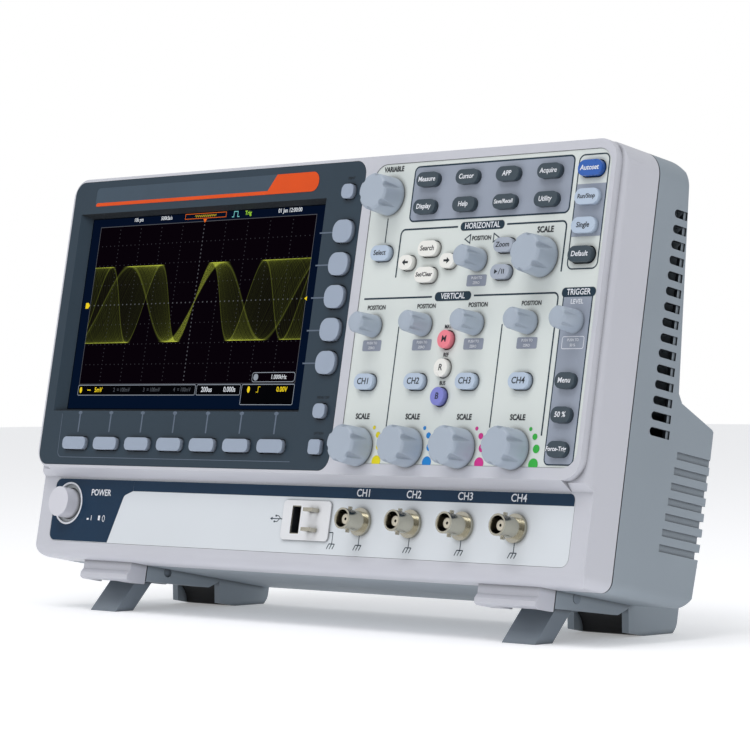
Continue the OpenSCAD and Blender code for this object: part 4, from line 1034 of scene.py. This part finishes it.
lit_yellow = lit("lit_yellow", srgb(244, 214, 40))
lit_white = lit("lit_white", srgb(215, 220, 226))
lit_dim = lit("lit_dim", srgb(74, 78, 84))
lit_orange = lit("lit_orange", srgb(240, 110, 30))
lit_green = lit("lit_green", srgb(160, 216, 60))
lit_cyan = lit("lit_cyan", srgb(120, 200, 200))
PRINTS.clear()
DY = SY - 0.06
TOP_Z = GZ1 + 2.7           # middle of the readouts over the graticule
LOW_Z = GZ0 - 2.9           # and of those under it
marks = Print("screen_marks_yellow", lit_yellow)
marks.shape([(GX0 - 3.6, GZC + 1.5), (GX0 - 1.4, GZC + 1.5), (GX0 - 0.2, GZC),
             (GX0 - 1.4, GZC - 1.5), (GX0 - 3.6, GZC - 1.5)], DY)
marks.shape([(GX1 - 1.2, GZC), (GX1 + 0.6, GZC + 1.1), (GX1 + 0.6, GZC - 1.1)], DY)
marks.shape(disc(GX0 + 2.2, LOW_Z, 1.0, 1.6, 16), DY)
marks.shape(rect(GX0 + 7.4, GX0 + 10.2, GZ0 - 3.2, GZ0 - 2.7), DY)
marks.shape(disc(GX0 + 131.5, LOW_Z, 1.0, 1.6, 16), DY)
marks.line([(GX0 + 137.0, GZ0 - 4.2), (GX0 + 138.4, GZ0 - 4.2), (GX0 + 138.4, GZ0 - 1.6),
            (GX0 + 139.8, GZ0 - 1.6)], 0.3, DY)
marks.build()
# trigger point over the graticule, in a bracket
marks = Print("screen_marks_orange", lit_orange)
marks.shape([(GXC - 1.4, GZ1 + 1.1), (GXC + 1.4, GZ1 + 1.1), (GXC, GZ1 - 0.9)], DY)
marks.line(rect(GXC - 15.5, GXC + 15.5, GZ1 + 1.5, GZ1 + 4.0), 0.25, DY, closed=True)
marks.build()
# frames of the readouts: left, right, bottom, top, corner
marks = Print("screen_lines", lit("lit_frame", srgb(150, 158, 168)))
for *frame, corner in ((GX0, GX0 + 92.0, GZ0 - 5.6, GZ0 - 0.4, 0.8),
                       (GX0 + 93.0, GX0 + 125.4, GZ0 - 5.6, GZ0 - 0.4, 0.8),
                       (GX0 + 126.4, GX1, GZ0 - 10.4, GZ0 - 0.4, 0.8),
                       (GX1 - 31.0, GX1 - 0.6, GZ0 + 0.9, GZ0 + 5.5, 1.4)):
    marks.line(rect(*frame, corner), 0.3, DY, closed=True)
marks.shape(disc(GX1 - 28.4, GZ0 + 3.2, 1.7, n=20), DY)
marks.build()
# pulse sign
marks = Print("screen_marks_green", lit_cyan)
marks.line([(GXC + 20.0, GZ1 + 1.2), (GXC + 21.4, GZ1 + 1.2), (GXC + 21.4, GZ1 + 3.9),
            (GXC + 24.2, GZ1 + 3.9), (GXC + 24.2, GZ1 + 1.2), (GXC + 25.6, GZ1 + 1.2)], 0.4, DY)
marks.build()
# small picture of the whole record
marks = Print("screen_preview", lit_yellow)
marks.line([(GXC - 8.0 + 16.0 * i / 60, TOP_Z + 0.5 * math.sin(i * 1.1)) for i in range(61)], 0.18, DY)
marks.build()
# words and numbers: name, text, x, z, size, light, thickness of the strokes, squeeze
READOUTS = [
    ("depth", "10k pts", GX0 + 30.0, TOP_Z, 2.0, lit_white, 0.04, 0.9),
    ("rate", "500kSa/s", GX0 + 52.0, TOP_Z, 2.0, lit_white, 0.04, 0.9),
    ("state", "Trig", GXC + 32.0, TOP_Z, 2.2, lit_green, 0.05, 0.95),
    ("clock", "01 Jan 12:00:00", GX1 - 19.5, TOP_Z, 2.1, lit_white, 0.05, 0.95),
    ("volts", "5mV", GX0 + 16.4, LOW_Z, 2.5, lit_yellow, 0.06, 0.95),
]
for i in range(3):
    READOUTS.append(("off_%d" % (i + 2), "%d  = 100mV" % (i + 2), GX0 + 35.0 + 23.5 * i, LOW_Z, 2.1, lit_dim,
                     0.03, 0.95))
READOUTS += [
    ("time", "200us", GX0 + 100.5, LOW_Z, 2.6, lit_white, 0.06, 0.95),
    ("delay", "0.000s", GX0 + 117.5, LOW_Z, 2.6, lit_white, 0.06, 0.95),
    ("level", "0.00V", GX1 - 8.6, LOW_Z, 2.5, lit_yellow, 0.06, 0.95),
]
for name, text, x, z, size, light, bold, squeeze in READOUTS:
    label("screen_" + name, text, x, z, DY, size, light, bold=bold, squeeze=squeeze)
label("screen_freq", "1.000kHz", GX1 - 12.0, GZ0 + 3.2, DY - 0.02, 2.2, lit_white, bold=0.04, squeeze=0.95)

# ------------------------------------------------------------------ floor, light, camera
ROOM_LOW, ROOM_HIGH = 0.17, 0.74       # brightness of the room at the horizon and overhead
lo, hi = (Vector(v) for v in cad_box)
centre = (lo + hi) / 2
floor_mesh = bpy.data.meshes.new("floor")
FAR = 6.0                   # from the middle of the floor to its edges, in m
floor_mesh.from_pydata([(-FAR, -FAR, 0), (FAR, -FAR, 0), (FAR, FAR, 0), (-FAR, FAR, 0)], [], [(0, 1, 2, 3)])
floor = bpy.data.objects.new("floor", floor_mesh)
bpy.context.scene.collection.objects.link(floor)
ft = Tree("floor_paper")
fb = ft.node("ShaderNodeBsdfPrincipled")
for name, value in (("Base Color", srgb(246, 246, 248)), ("Roughness", 0.7), ("Specular IOR Level", 0.2),
                    ("Emission Color", (1.0, 1.0, 1.0, 1.0)), ("Emission Strength", 0.27)):
    fb.inputs[name].default_value = value
ft.t.links.new(fb.outputs[0], ft.out.inputs[0])
floor_mesh.materials.append(ft.mat)

world = bpy.data.worlds.new("studio")
bpy.context.scene.world = world
world.use_nodes = True
wt = world.node_tree
wt.nodes.clear()
wo, mixer, backdrop, room, path, coords, split, height = (
    wt.nodes.new("ShaderNode" + kind) for kind in ("OutputWorld", "MixShader", "Background", "Background",
                                                   "LightPath", "TexCoord", "SeparateXYZ", "MapRange"))
# the camera sees white; everything else is lit by a room that is dim below and bright above
backdrop.inputs[0].default_value = (1.0, 1.0, 1.0, 1.0)
wt.links.new(coords.outputs["Generated"], split.inputs[0])
wt.links.new(split.outputs[2], height.inputs[0])
height.inputs[1].default_value, height.inputs[2].default_value = -0.3, 0.9
height.inputs[3].default_value, height.inputs[4].default_value = ROOM_LOW, ROOM_HIGH
wt.links.new(height.outputs[0], room.inputs[1])
room.inputs[0].default_value = (0.97, 0.985, 1.0, 1.0)
wt.links.new(path.outputs["Is Camera Ray"], mixer.inputs[0])
wt.links.new(room.outputs[0], mixer.inputs[1])
wt.links.new(backdrop.outputs[0], mixer.inputs[2])
wt.links.new(mixer.outputs[0], wo.inputs[0])

# camera facts: direction from the object to the camera, distance and aim, from the bounding box
AZIMUTH, ELEVATION, ROLL = 45.44, -0.23, -0.20       # degrees
DISTANCE = 1.4739
AIM_RIGHT, AIM_UP = 0.0017, 0.0083
LENS_MM = 144.5
az, el, ro = (math.radians(a) for a in (AZIMUTH, ELEVATION, ROLL))
forward = Vector((-math.sin(az) * math.cos(el), math.cos(az) * math.cos(el), -math.sin(el)))
right = forward.cross(Vector((0, 0, 1))).normalized()
up = right.cross(forward)
r2 = right * math.cos(ro) + up * math.sin(ro)
u2 = r2.cross(forward)
aim = centre + r2 * AIM_RIGHT + u2 * AIM_UP
cam_data = bpy.data.cameras.new("camera")
cam = bpy.data.objects.new("camera", cam_data)
bpy.context.scene.collection.objects.link(cam)
cam.matrix_world = Matrix((r2, u2, -forward)).transposed().to_4x4()
cam.location = aim - forward * DISTANCE
cam_data.lens = LENS_MM
cam_data.sensor_width = 36.0
cam_data.clip_end = 50.0
bpy.context.scene.camera = cam


def area(name, where, target, size, power, colour=(1, 1, 1)):
    d = bpy.data.lights.new(name, "AREA")
    d.shape = "RECTANGLE"
    d.size, d.size_y = size
    d.energy = power
    d.color = colour
    o = bpy.data.objects.new(name, d)
    bpy.context.scene.collection.objects.link(o)
    o.location = where
    o.rotation_euler = (Vector(target) - Vector(where)).to_track_quat("-Z", "Y").to_euler()
    return o


area("key_light", (0.15, -0.9, 1.9), centre, (1.2, 0.9), 14)
area("front_fill", (-1.3, -1.5, 0.6), centre, (1.2, 1.2), 1.5)
area("side_light", (1.9, 0.2, 0.9), centre, (1.0, 1.2), 1.7)

sc = bpy.context.scene
sc.view_settings.view_transform = "Standard"
sc.view_settings.look = "None"
sc.view_settings.exposure = 0.0
